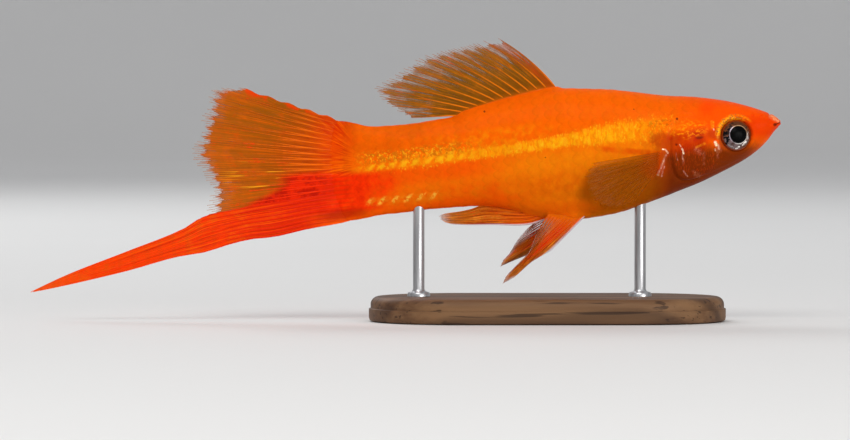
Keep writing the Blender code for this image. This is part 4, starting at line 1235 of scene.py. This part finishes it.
def close_sheet(name, front, rear, across, u):
    """A closed thin solid between two grids, with its place in the fin as attributes."""
    rows, columns = front.shape[:2]
    count = rows * columns
    faces = grid_faces(rows, columns)
    back_faces = grid_faces(rows, columns, first=count)[:, ::-1]
    rim = [(0, c) for c in range(columns)] + [(r, columns - 1) for r in range(1, rows)]
    rim += [(rows - 1, c) for c in range(columns - 2, -1, -1)] + [(r, 0) for r in range(rows - 2, 0, -1)]
    rim = np.array([r * columns + c for r, c in rim])
    after = np.roll(rim, -1)
    sides = np.stack([after, rim, rim + count, after + count], axis=-1)
    points = np.concatenate([front.reshape(-1, 3), rear.reshape(-1, 3)])
    obj = add_mesh(name, to_row(points), np.concatenate([faces, back_faces, sides]))
    turn_outwards(obj)
    add_attribute(obj, "across", np.tile(across.ravel(), 2))
    add_attribute(obj, "along", np.tile(u.ravel(), 2))
    return obj


def ray_lines(sheet, settings, branched=(0, 1), fork=(0.36, 0.66), spread=(0.27, 0.12), girth=1.0):
    """The rays as lines of points with their girth. Rays whose place lies within branched fork twice."""
    draws = np.random.default_rng(RAY_SEED)
    space = 1 / (sheet.rays - 1)
    thick = girth * settings.girth / MM
    lines = []
    for i in range(sheet.rays):
        centre = i * space
        first, second = (value + draws.uniform(-0.05, 0.05) for value in fork)
        full = 0.5 + 0.5 * first
        end = 1 + draws.uniform(-0.035, 0.005)
        if not branched[0] <= centre <= branched[1]:
            u = np.linspace(0, end, 26)
            lines.append((np.full_like(u, centre), u, thick * (1.05 - 0.85 * u)))
            continue
        trunk = np.linspace(0, first, 10)
        lines.append((np.full_like(trunk, centre), trunk, thick * (1.0 - 0.3 * trunk / first)))
        for side in (-1, 1):
            limb = np.linspace(first - 0.01, second, 10)
            way = side * spread[0] * space
            off = way * smooth(limb, first - 0.01, full)
            lines.append((centre + off, limb, thick * (0.70 - 0.12 * limb)))
            for twig_side in (-1, 1):
                reach = end - draws.uniform(0, 0.05)
                twig = np.linspace(second - 0.01, reach, 10)
                off = way * smooth(twig, first - 0.01, full)
                off = off + twig_side * spread[1] * space * smooth(twig, second - 0.01, 1.0)
                lines.append((centre + off, twig, thick * (0.52 - 0.30 * (twig - second) / (reach - second))))
    return [(np.clip(across, 0, 1), u, np.clip(radius * (0.3 + 0.7 * smooth(u, 0.0, 0.13)), 0.008, None))
            for across, u, radius in lines]


def ray_tree(material):
    """Sweeps a round section along each line, as thick as the line's girth says."""
    tree, given = new_tree("fin rays", (("Sides", "Int", 6), ("Thickness", "Float", 1.0)))
    girth = tree.node("GeometryNodeInputNamedAttribute", {"data_type": "FLOAT"}, "girth")
    line = tree.node("GeometryNodeMeshToCurve", None, given["Geometry"])
    section = tree.node("GeometryNodeCurvePrimitiveCircle", None, given["Sides"], Radius=1.0)
    rods = tree.node("GeometryNodeCurveToMesh", None, line, section, girth * given["Thickness"], True)
    rods = tree.node("GeometryNodeSetShadeSmooth", None, rods)
    end_tree(tree, rods, material)
    return tree


def rays(name, sheet, lines, material):
    """Round rays along the lines."""
    points, edges, columns = [], [], {"girth": [], "across": [], "along": []}
    for across, u, radius in lines:
        start = len(columns["girth"])
        points.append(sheet.at(across, u))
        edges += [(start + i, start + i + 1) for i in range(len(u) - 1)]
        columns["girth"].extend(radius * MM)
        columns["across"].extend(across)
        columns["along"].extend(u)
    base = add_mesh(name + "_lines", to_row(np.concatenate(points)), [], edges)
    for key, values in columns.items():
        add_attribute(base, key, values)
    return grow(base, ray_tree(material), {"Sides": 6, "Thickness": 1.0}, name)


def dorsal_sheet(settings):
    first, last = 30.4, 44.4

    def root(across):
        s = first + (last - first) * across
        return np.stack([s, back(s) - 0.1], axis=-1)

    return upright(root, path_through(DORSAL_MARGIN), (0.05, 0.0), settings.dorsal_rays)


def fan_sheet(settings):
    root_s, root_foot = FAN_FOOT[0]

    def root(across):
        return np.stack([root_s + 0 * across, FAN_ROOT_TOP + (root_foot - FAN_ROOT_TOP) * across], axis=-1)

    return upright(root, path_through(FAN_MARGIN), (-0.002, 0.0), settings.fan_rays, 0.3)


def sword_sheet():
    upper, lower = through(FAN_FOOT + SWORD_UPPER_EDGE), through(SWORD_LOWER_EDGE)
    first = FAN_FOOT[0][0]

    def at(across, u):
        s = first + (SWORD_TIP - first) * np.asarray(u, float)
        top, foot = upper(s), lower(s)
        return fish_point(s, 0.0, top + (foot - top) * np.clip(across, 0, 1))

    return FinSheet(at, 9, (0, 1, 0))


def anal_sheet():
    """The narrow anal fin that the male carries folded back against the body."""
    upper, lower = path_through(ANAL_UPPER_EDGE), path_through(ANAL_LOWER_EDGE)

    def at(across, u):
        across, u = np.broadcast_arrays(np.asarray(across, float), np.asarray(u, float))
        flat = upper(u) + (lower(u) - upper(u)) * np.clip(across, 0, 1)[..., None]
        return fish_point(flat[..., 0], 0.0, flat[..., 1])

    return FinSheet(at, 6, (0, 1, 0))


def pectoral_sheet(side):
    return flank_fin(side, (17.1, 17.9), (math.radians(99), math.radians(119)), PECTORAL_TIPS, 12, 0.05)


def pelvic_sheet(side, drop):
    """A pelvic fin with a short front ray and a long second one, its tips lowered by up to drop."""
    tips = [(share, s - less_s * drop, h - less_h * drop, y)
            for share, s, less_s, h, less_h, y in PELVIC_TIPS]
    return flank_fin(side, (28.4, 33.6), (math.radians(161), math.radians(165)), tips, 11, 0.0)


def dress_fin(name, side, sheet, settings, finishes, slot, node, margin, branches):
    """Builds a fin's membrane and rays over its sheet. margin and branches say how they end and fork."""
    skin = membrane(name + "_membrane" + side, sheet, settings, **margin)
    paint(skin, finishes[0].material)
    finish_piece(skin, slot, node)
    lines = ray_lines(sheet, settings, **branches)
    finish_piece(rays(name + "_rays" + side, sheet, lines, finishes[1].material), slot)


def fin_gloss(m, **inputs):
    m.set(Specular_IOR_Level=0.04, Specular_Tint=(1.0, 0.5, 0.15), Coat_Roughness=0.14, **inputs)


def ray_finish(name, near, far, tip_alpha=0.75, tip_tint=(0.74, 0.36, 0.24), pale_edge=None, flush=0.7):
    """Rays with fine cross joints and red patches. pale_edge is the place of a bluish white ray."""
    m = Finish(name)
    along, across = m.fin_place()
    joints = m.step(m.maths("SINE", along * 150), 0.2, 0.9)
    patchy = m.noise(700, 3, 0.6)
    flushed = m.step(patchy, 0.52, 0.66) * m.window(along, 0.4, 0.95, 0.15)
    tint = m.coats(
        near,
        (far, m.step(along + (patchy - 0.5) * 0.5, 0.15, 0.7)),
        ((0.95, 0.05, 0.003), flushed * flush),
        (tip_tint, m.step(along, 0.86, 1.0) * 0.8),
        ((0.35, 0.07, 0.004), joints * m.step(along, 0.25, 0.5) * 0.25))
    if pale_edge is not None:
        tint = m.mix(tint, PALE_EDGE, m.step(abs(across - pale_edge), 0.10, 0.0) * 0.75)
    fin_gloss(m, Base_Color=tint, Roughness=0.34 + patchy * 0.1, Coat_Weight=0.12,
              Alpha=1 - m.step(along, 0.82, 1.0) * (1 - tip_alpha), Normal=m.bump(joints, 0.00002, 0.3))
    return m, tint


def membrane_finish(name, tints, alpha, edge_alpha, clear_from=0.5, pale_edge=None, fibres=60,
                    fibre_tint=(0.80, 0.13, 0.003)):
    """A translucent membrane that clears outwards between its rays. tints are (place along the rays, colour),
    and fibres is how many streaks of fibre_tint cross it."""
    m = Finish(name)
    (along, across), gap = m.fin_place(), m.attribute("gap")
    patchy, fine, fibre = m.noise(420, 3, 0.6), m.noise(1700, 3, 0.6), m.fibre(fibres)
    tint = m.node("ShaderNodeValToRGB", {"stops": tints}, along + (patchy - 0.5) * 0.2)
    streaks = m.step(fibre, 0.50, 0.62) * 0.62 + m.step(patchy + (fibre - 0.5) * 0.6, 0.54, 0.66) * 0.35
    tint = m.mix(tint, fibre_tint, streaks * m.step(along, 0.12, 0.35))
    shade = 0.72 + 0.30 * fine - 0.12 * gap + 0.26 * m.step(fibre, 0.32, 0.5)
    tint = m.shaded(tint, shade, shade, shade)
    if pale_edge is not None:
        tint = m.mix(tint, PALE_EDGE, m.step(abs(across - pale_edge), 0.05, 0.0) * 0.8)
    clear = m.step(along + (patchy - 0.5) * 0.5 + (0.5 - fibre) * 1.5, clear_from, 1.05) * (0.2 + 0.8 * gap)
    fin_gloss(m, Base_Color=tint, Roughness=0.45, Coat_Weight=0.08,
              Alpha=alpha - clear * (alpha - edge_alpha), Normal=m.bump(m.noise(3500, 3, 0.6), 0.00003, 0.4))
    return m, tint


def dorsal_finishes(settings, body):
    m, tint = membrane_finish("dorsal membrane", (
        (0.0, (0.46, 0.10, 0.002)), (0.12, (0.21, 0.067, 0.001)), (0.5, tuple(settings.amber)),
        (0.8, (0.27, 0.095, 0.005)), (1.0, (0.40, 0.16, 0.05))), 0.95, 0.1, 0.34,
        fibre_tint=(0.40, 0.112, 0.003))
    along, across = m.fin_place()
    front = m.step(across + (m.noise(700, 3) - 0.5) * 0.1, 0.13, 0.03) * m.step(m.fibre(90), 0.35, 0.6)
    foot = m.step(along, 0.07, 0.02)
    m.set(Base_Color=m.coats(tint, ((0.50, 0.048, 0.002), front * 0.8), (body.back, foot)))
    far, tip = (0.36, 0.100, 0.003), (0.54, 0.18, 0.06)
    return m, ray_finish("dorsal rays", tuple(settings.ray), far, 0.75, tip, flush=0.3)[0]


def fan_finishes(body):
    """The fan takes the flank's colours at its root and the sword's red along its foot."""
    m, tint = membrane_finish("fan membrane", (
        (0.0, (0.72, 0.060, 0.001)), (0.28, (0.46, 0.056, 0.001)), (0.5, (0.38, 0.078, 0.002)),
        (0.85, (0.43, 0.097, 0.004)), (1.0, (0.44, 0.17, 0.06))),
        0.98, 0.6, 0.9, fibres=90, fibre_tint=(0.66, 0.10, 0.002))
    s, h = m.side_view()
    olive = m.oval(s, h, *FAN_OLIVE) * m.step(m.fibre(40), 0.62, 0.48)
    blush = m.patches(900, 0.56, 0.66, 4, 0.65, (0.6, 1, 1)) * m.step(s, 66, 70)
    wander = (m.noise(260) - 0.5) * 3
    slant = m.maths("MINIMUM", h + 1, 0.0) * 2.2
    foot = m.step(h + wander * 0.25, 0.8, -0.2) * m.step(s + slant + wander * 0.6, 71.5, 68.5)
    foot_tint = m.mix((0.50, 0.008, 0.001), (0.80, 0.020, 0.001), m.patches(800, 0.36, 0.6))
    top = m.step(m.attribute("across"), 0.07, 0.0) * m.step(s, 79, 72) * m.patches(520, 0.42, 0.56, 2, 0.5)
    m.set(Base_Color=m.coats(
        tint,
        ((0.30, 0.085, 0.002), olive * 0.7),
        ((0.66, 0.070, 0.001), blush * 0.35),
        (foot_tint, foot),
        ((0.85, 0.038, 0.002), top * 0.9),
        (flank_tint(m, body, s, h)[0], m.step(s, 66.5, 61.5))))
    rods, tint = ray_finish("fan rays", (0.90, 0.15, 0.003), (0.58, 0.11, 0.003), 0.8, (0.55, 0.26, 0.12))
    s, h = rods.side_view()
    slant = rods.maths("MINIMUM", h + 1, 0.0) * 2.2
    foot = rods.step(h + (rods.noise(260) - 0.5) * 0.8, 0.8, -0.2) * rods.step(s + slant, 72.5, 68.5)
    streak = rods.patches(500, 0.5, 0.6, 2, 0.5, (0.4, 1, 2)) * rods.oval(s, h, (74, 0.3), (5, 2.2), 0.5)
    rods.set(Base_Color=rods.coats(
        tint,
        ((0.44, 0.095, 0.002), rods.oval(s, h, *FAN_OLIVE) * 0.6),
        ((0.86, 0.022, 0.001), foot * 0.95),
        ((1.0, 0.42, 0.01), streak * 0.8),
        (flank_tint(rods, body, s, h)[0], rods.step(s, 66, 62) * 0.8)))
    return m, rods


def sword_finishes(settings, body):
    m, tint = membrane_finish("sword membrane", (
        (0.0, (0.62, 0.016, 0.001)), (0.14, (0.80, 0.022, 0.001)), (0.5, tuple(settings.red)),
        (0.85, (0.94, 0.040, 0.001)), (1.0, (0.90, 0.07, 0.006))), 1.0, 0.95)
    (along, across), streaky = m.fin_place(), m.fibre(34)
    rim = m.step(abs(across - 0.5), 0.465, 0.5) * m.step(along, 0.12, 0.3)
    rim = rim * m.patches(500, 0.35, 0.55, 2, 0.5)
    tint = m.coats(
        tint,
        ((0.40, 0.007, 0.001), m.step(streaky, 0.52, 0.64) * m.step(along, 1.0, 0.5) * 0.8),
        ((1.0, 0.105, 0.001), m.step(streaky, 0.46, 0.36) * m.step(along, 0.05, 0.3) * 0.8),
        ((0.30, 0.035, 0.003), rim * 0.8))
    near, far, tip = (0.72, 0.016, 0.001), (0.95, 0.050, 0.001), (0.90, 0.12, 0.02)
    rods, rod_tint = ray_finish("sword rays", near, far, 1.0, tip)
    for finish, base in ((m, tint), (rods, rod_tint)):
        s, h = finish.side_view()
        rooted = (flank_tint(finish, body, s, h)[0], finish.step(s, 69, 62))
        finish.set(Base_Color=finish.coats(base, rooted))
    return m, rods


def anal_finishes():
    m, tint = membrane_finish("anal membrane", LOWER_FIN_TINTS, 0.98, 0.8, 0.8, 1.0, 16, (0.80, 0.26, 0.02))
    dark = m.step(m.fibre(11), 0.52, 0.60) * m.window(m.attribute("along"), 0.1, 0.85, 0.15)
    m.set(Base_Color=m.mix(tint, (0.30, 0.018, 0.001), dark * 0.8))
    return m, ray_finish("anal rays", (0.80, 0.13, 0.002), (0.62, 0.14, 0.005), 0.9, PALE_TIP, 1.0)[0]


def pelvic_finishes():
    """The hindmost rays carry a nearly clear fringe."""
    gold = (0.78, 0.22, 0.01)
    m, tint = membrane_finish("pelvic membrane", LOWER_FIN_TINTS, 0.97, 0.55, 0.75, 0.0, 22, gold)
    along, across = m.fin_place()
    dark = m.step(m.fibre(17), 0.52, 0.60) * m.step(along, 0.15, 0.4)
    fringe = m.step(across + (m.fibre(30) - 0.5) * 0.3, 0.46, 0.74)
    tint = m.coats(
        tint,
        ((0.74, 0.022, 0.001), m.oval(along, across, (0.34, 0.32), (0.34, 0.17), 0.5) * 0.85),
        ((0.34, 0.022, 0.001), dark * 0.75),
        ((0.76, 0.130, 0.001), m.step(along, 0.24, 0.04)),
        ((0.44, 0.24, 0.16), fringe * m.step(along, 0.1, 0.4)))
    m.set(Base_Color=tint, Alpha=0.95 - fringe * m.step(along, 0.05, 0.5) * 0.75)
    rods, _ = ray_finish("pelvic rays", (0.62, 0.095, 0.001), (0.50, 0.090, 0.002), 0.95, PALE_TIP, 0.0)
    along, across = rods.fin_place()
    rods.set(Alpha=1 - rods.step(across, 0.45, 0.78) * rods.step(along, 0.3, 0.9) * 0.75)
    return m, rods


def pectoral_finishes(settings):
    near, clear = (0.52, 0.08, 0.002), tuple(settings.clear)
    m, _ = membrane_finish("pectoral membrane", ((0.0, near), (0.3, clear), (1.0, clear)), 0.32, 0.03, 0.45,
                           fibre_tint=(0.36, 0.09, 0.002))
    rods, _ = ray_finish("pectoral rays", near, (0.34, 0.08, 0.002), 0.2, (0.34, 0.09, 0.004), flush=0.0)
    along, across = rods.fin_place()
    rods.set(Alpha=(0.50 - rods.step(along, 0.05, 0.9) * 0.38) * (0.3 + 0.7 * rods.step(across, 0.0, 0.3)))
    return m, rods


class SWORDTAIL_OT_dorsal_fin(bpy.types.Operator):
    """Build the fin on the back"""
    bl_idname = "swordtail.dorsal_fin"
    bl_label = "Dorsal fin"

    def execute(self, context):
        settings = context.scene.swordtail_fins
        finishes = dorsal_finishes(settings, context.scene.swordtail_skin)
        dress_fin("dorsal", "", dorsal_sheet(settings), settings, finishes, "amber_fin", "dorsal_fin",
                  {"fray": 0.10, "billow": 0.06, "root_half": 0.26},
                  {"branched": (0.1, 1), "fork": (0.42, 0.72)})
        return {"FINISHED"}


class SWORDTAIL_OT_tail_fin(bpy.types.Operator):
    """Build the tail fin: the rounded fan and the sword below it"""
    bl_idname = "swordtail.tail_fin"
    bl_label = "Tail fin and sword"

    def execute(self, context):
        settings, body = context.scene.swordtail_fins, context.scene.swordtail_skin
        dress_fin("fan", "", fan_sheet(settings), settings, fan_finishes(body), "amber_fin", "tail_fan",
                  {"fray": 0.075, "per_ray": 16, "root_half": 0.1},
                  {"branched": (0.05, 1), "fork": (0.16, 0.46), "spread": (0.26, 0.13), "girth": 1.05})
        dress_fin("sword", "", sword_sheet(), settings, sword_finishes(settings, body), "red_tail", "sword",
                  {"fray": 0.004, "root_half": 0.1, "rows": 90, "billow": 0.03},
                  {"branched": UNBRANCHED, "girth": 0.95})
        return {"FINISHED"}


class SWORDTAIL_OT_lower_fins(bpy.types.Operator):
    """Build the anal, pelvic and pectoral fins"""
    bl_idname = "swordtail.lower_fins"
    bl_label = "Lower and side fins"

    def execute(self, context):
        settings = context.scene.swordtail_fins
        dress_fin("anal", "", anal_sheet(), settings, anal_finishes(), "red_tail", "anal_fin",
                  {"fray": 0.02, "root_half": 0.1, "billow": 0.02}, {"branched": UNBRANCHED, "girth": 1.2})
        pelvic, pectoral = pelvic_finishes(), pectoral_finishes(settings)
        for word, side, drop in (("_left", 1, 0.0), ("_right", -1, PELVIC_DROP)):
            dress_fin("pelvic", word, pelvic_sheet(side, drop), settings, pelvic,
                      "red_tail", "pelvic_fin" + word,
                      {"fray": 0.014, "root_half": 0.2, "billow": 0.03},
                      {"branched": (0.3, 1), "fork": (0.45, 0.72), "girth": 0.85})
            dress_fin("pectoral", word, pectoral_sheet(side), settings, pectoral,
                      "clear_fin", "pectoral_fin" + word,
                      {"fray": 0.05, "root_half": 0.15},
                      {"branched": (0.1, 1), "fork": (0.45, 0.75), "girth": 0.65})
        return {"FINISHED"}


# Stand


def lathe(name, x, y, profile, sides=64):
    """A turned piece on an upright axis, from (radius, height) points that start and end on the axis."""
    turns = np.arange(sides) * 2 * np.pi / sides
    rings = [(x + r * np.cos(turns), y + r * np.sin(turns), z + 0 * turns) for r, z in profile[1:-1]]
    poles = [(x, y, profile[0][1]), (x, y, profile[-1][1])]
    points, faces = ball_rings(np.moveaxis(np.array(rings), 1, -1), poles)
    obj = add_mesh(name, points, faces)
    turn_outwards(obj)
    obj.data.set_sharp_from_angle(angle=SHARP_ANGLE)
    return obj


def build_base(settings):
    """The board with round ends, a soft upper edge and a small step under it."""
    low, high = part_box("stand_base")
    radius = (high.y - low.y) / 2
    middle, straight = (low.x + high.x) / 2, (high.x - low.x) / 2 - radius
    turns = np.radians(np.linspace(-90, 90, 49))
    right = np.stack([straight + radius * np.cos(turns), radius * np.sin(turns)], axis=-1)
    outline = np.concatenate([right, -right])
    top, over, step = high.z, settings.round_over, 0.00025
    # Each ring is (inset from the outline, height)
    profile = [(0.0006, 0.0), (0.0001, 0.0002), (0.0, 0.0006), (0.0, top - over - 0.0006),
               (step, top - over - 0.0005), (step, top - over - 0.0002)]
    profile += [(step + over * (1 - math.cos(a)), top - over + over * math.sin(a))
                for a in np.radians(np.linspace(0, 90, 9))]
    profile += [(0.004, top), (0.009, top)]
    anchor = np.copysign(straight, outline[:, 0])
    rings = []
    for inset, z in profile:
        x = middle + anchor + (outline[:, 0] - anchor) * (1 - inset / radius)
        rings.append(np.stack([x, outline[:, 1] * (1 - inset / radius), np.full(len(x), z)], axis=-1))
    count = len(outline)
    faces = grid_faces(len(rings), count, closed=True).tolist()
    faces += [tuple(range(count)), tuple((len(rings) - 1) * count + i for i in range(count))]
    base = add_mesh("base_board", np.array(rings), faces)
    turn_outwards(base)
    base.data.set_sharp_from_angle(angle=SHARP_ANGLE)
    return base


def wood_finish(settings):
    """Oiled walnut with its grain along the base."""
    m = Finish("walnut")
    wander = m.noise(22, 3, 0.55, stretch=(0.35, 1, 1))
    lines = m.noise(260, 5, 0.62, stretch=(0.05, 1.0, 1.3))
    rings = m.maths("SINE", m.along((0, 1.1, 0.8)) * 1.1 + wander * 26)
    pores = m.patches(1500, 0.60, 0.68, 2, 0.5, (0.05, 1, 1))
    tint = m.coats(
        settings.wood,
        ((0.22, 0.115, 0.052), m.step(lines, 0.36, 0.70)),
        ((0.045, 0.020, 0.010), m.step(rings, 0.15, 1.0) * 0.55),
        ((0.022, 0.010, 0.006), pores * 0.7))
    m.set(Base_Color=tint, Roughness=0.52 + lines * 0.15, Specular_IOR_Level=0.2, Coat_Weight=0.06,
          Coat_Roughness=0.35, Normal=m.bump(lines * 0.5 - pores, 0.00003, 0.5))
    return m.material


def steel_finish(settings):
    m = Finish("brushed steel")
    brushed = m.noise(2200, 3, 0.6, stretch=(1, 1, 0.03))
    m.set(Base_Color=m.mix(settings.steel, (0.42, 0.42, 0.43), m.step(brushed, 0.4, 0.65)), Metallic=1.0,
          Roughness=0.24 + brushed * 0.16, Normal=m.bump(brushed, 0.00001, 0.3))
    return m.material


class SWORDTAIL_OT_stand(bpy.types.Operator):
    """Build the base and its two rods"""
    bl_idname = "swordtail.stand"
    bl_label = "Stand"

    def execute(self, context):
        settings = context.scene.swordtail_stand
        base = build_base(settings)
        paint(base, wood_finish(settings))
        finish_piece(base, "walnut", "stand_base")
        steel = steel_finish(settings)
        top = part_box("stand_base")[1].z
        for word in ("front", "rear"):
            low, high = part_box("stand_rod_" + word)
            x, y, radius = (low.x + high.x) / 2, (low.y + high.y) / 2, (high.x - low.x) / 2
            head = high.z + 0.0004
            collar = [(2.0, -0.0005), (2.0, 0.0003), (1.85, 0.00055), (1.2, 0.0007), (1.0, 0.0010)]
            profile = [(0, top - 0.0005)] + [(radius * share, top + rise) for share, rise in collar]
            profile += [(radius, head - 0.0006), (radius, head), (0, head)]
            rod = lathe("rod_" + word, x, y, profile)
            paint(rod, steel)
            finish_piece(rod, "steel", "stand_rod_" + word)
        return {"FINISHED"}


# Studio


def aim(obj, place, target):
    obj.location = place
    obj.rotation_euler = (Vector(target) - Vector(place)).to_track_quat("-Z", "Y").to_euler()


def add_light(name, place, height, power, tint):
    """A wide soft light that faces the fish."""
    light = bpy.data.lights.new(name, "AREA")
    light.shape = "RECTANGLE"
    light.size, light.size_y = 0.5, height
    light.energy = power
    light.color = tint
    obj = bpy.data.objects.new(name, light)
    bpy.context.scene.collection.objects.link(obj)
    aim(obj, place, (0.0, 0.0, 0.025))


def build_floor(settings):
    """A wide pale floor that curves up far away on every side."""
    flat, bend, sides = 1.7, 0.9, 96
    profile = [(r, 0.0) for r in (0.4, 1.0, flat)]
    angles = np.radians(np.linspace(9, 90, 10))
    profile += [(flat + bend * math.sin(a), bend * (1 - math.cos(a))) for a in angles]
    profile.append((flat + bend, 1.6))
    turns = np.arange(sides) * 2 * np.pi / sides
    rings = [np.stack([r * np.cos(turns), r * np.sin(turns), z + 0 * turns], -1) for r, z in profile]
    points = np.concatenate([[(0, 0, 0)], *rings])
    faces = grid_faces(len(profile), sides, closed=True, first=1)[:, ::-1].tolist()
    faces += [(0, 1 + i, 1 + (i + 1) % sides) for i in range(sides)]
    floor = add_mesh("floor", points, faces)
    m = Finish("floor")
    tint = m.mix(settings.floor, tuple(0.97 * c for c in settings.floor), m.noise(6, 3))
    m.set(Base_Color=tint, Roughness=0.75)
    paint(floor, m.material)
    return floor


class SWORDTAIL_OT_studio(bpy.types.Operator):
    """Set up the floor, the lights and the camera"""
    bl_idname = "swordtail.studio"
    bl_label = "Studio"

    def execute(self, context):
        scene, settings = context.scene, context.scene.swordtail_studio
        build_floor(settings)
        for name, place, height, tint in LIGHTS:
            add_light(name, place, height, getattr(settings, name), tint)
        world = bpy.data.worlds.new("studio")
        world.use_nodes = True
        sky = world.node_tree.nodes["Background"]
        sky.inputs["Color"].default_value = (0.93, 0.95, 1.0, 1.0)
        sky.inputs["Strength"].default_value = settings.sky
        scene.world = world
        camera = bpy.data.cameras.new("camera")
        obj = bpy.data.objects.new("camera", camera)
        scene.collection.objects.link(obj)
        x, y, z = FRAME_MIDDLE
        rise = settings.distance * math.tan(settings.elevation)
        aim(obj, (x, y - settings.distance, z + rise), FRAME_MIDDLE)
        camera.sensor_width = 36.0
        camera.lens = camera.sensor_width * settings.distance / settings.frame_width
        camera.clip_start, camera.clip_end = 0.02, 20.0
        scene.camera = obj
        scene.view_settings.view_transform = "Standard"
        scene.view_settings.look = "None"
        return {"FINISHED"}


class SWORDTAIL_PT_panel(bpy.types.Panel):
    """The steps of the model, in order"""
    bl_idname = "SWORDTAIL_PT_panel"
    bl_label = "Swordtail"
    bl_space_type = "VIEW_3D"
    bl_region_type = "UI"
    bl_category = "Swordtail"

    def draw(self, context):
        for step in STEPS:
            self.layout.operator(step.bl_idname)
        for name in SETTINGS:
            group = getattr(context.scene, name)
            column = self.layout.column(heading=group.bl_rna.name)
            for key in group.bl_rna.properties.keys():
                if key not in ("rna_type", "name"):
                    column.prop(group, key)


SETTINGS = {
    "swordtail_skin": SkinSettings,
    "swordtail_scales": ScaleSettings,
    "swordtail_eye": EyeSettings,
    "swordtail_fins": FinSettings,
    "swordtail_stand": StandSettings,
    "swordtail_studio": StudioSettings,
}
STEPS = (SWORDTAIL_OT_studio, SWORDTAIL_OT_skin, SWORDTAIL_OT_eyes, SWORDTAIL_OT_dorsal_fin,
         SWORDTAIL_OT_tail_fin, SWORDTAIL_OT_lower_fins, SWORDTAIL_OT_stand)
CLASSES = (*SETTINGS.values(), *STEPS, SWORDTAIL_PT_panel)


def register():
    for cls in CLASSES:
        bpy.utils.register_class(cls)
    for name, cls in SETTINGS.items():
        setattr(bpy.types.Scene, name, PointerProperty(type=cls))


def unregister():
    for name in SETTINGS:
        delattr(bpy.types.Scene, name)
    for cls in reversed(CLASSES):
        bpy.utils.unregister_class(cls)


def main():
    register()
    for step in STEPS:
        group, name = step.bl_idname.split(".")
        getattr(getattr(bpy.ops, group), name)()


if __name__ == "__main__":
    main()
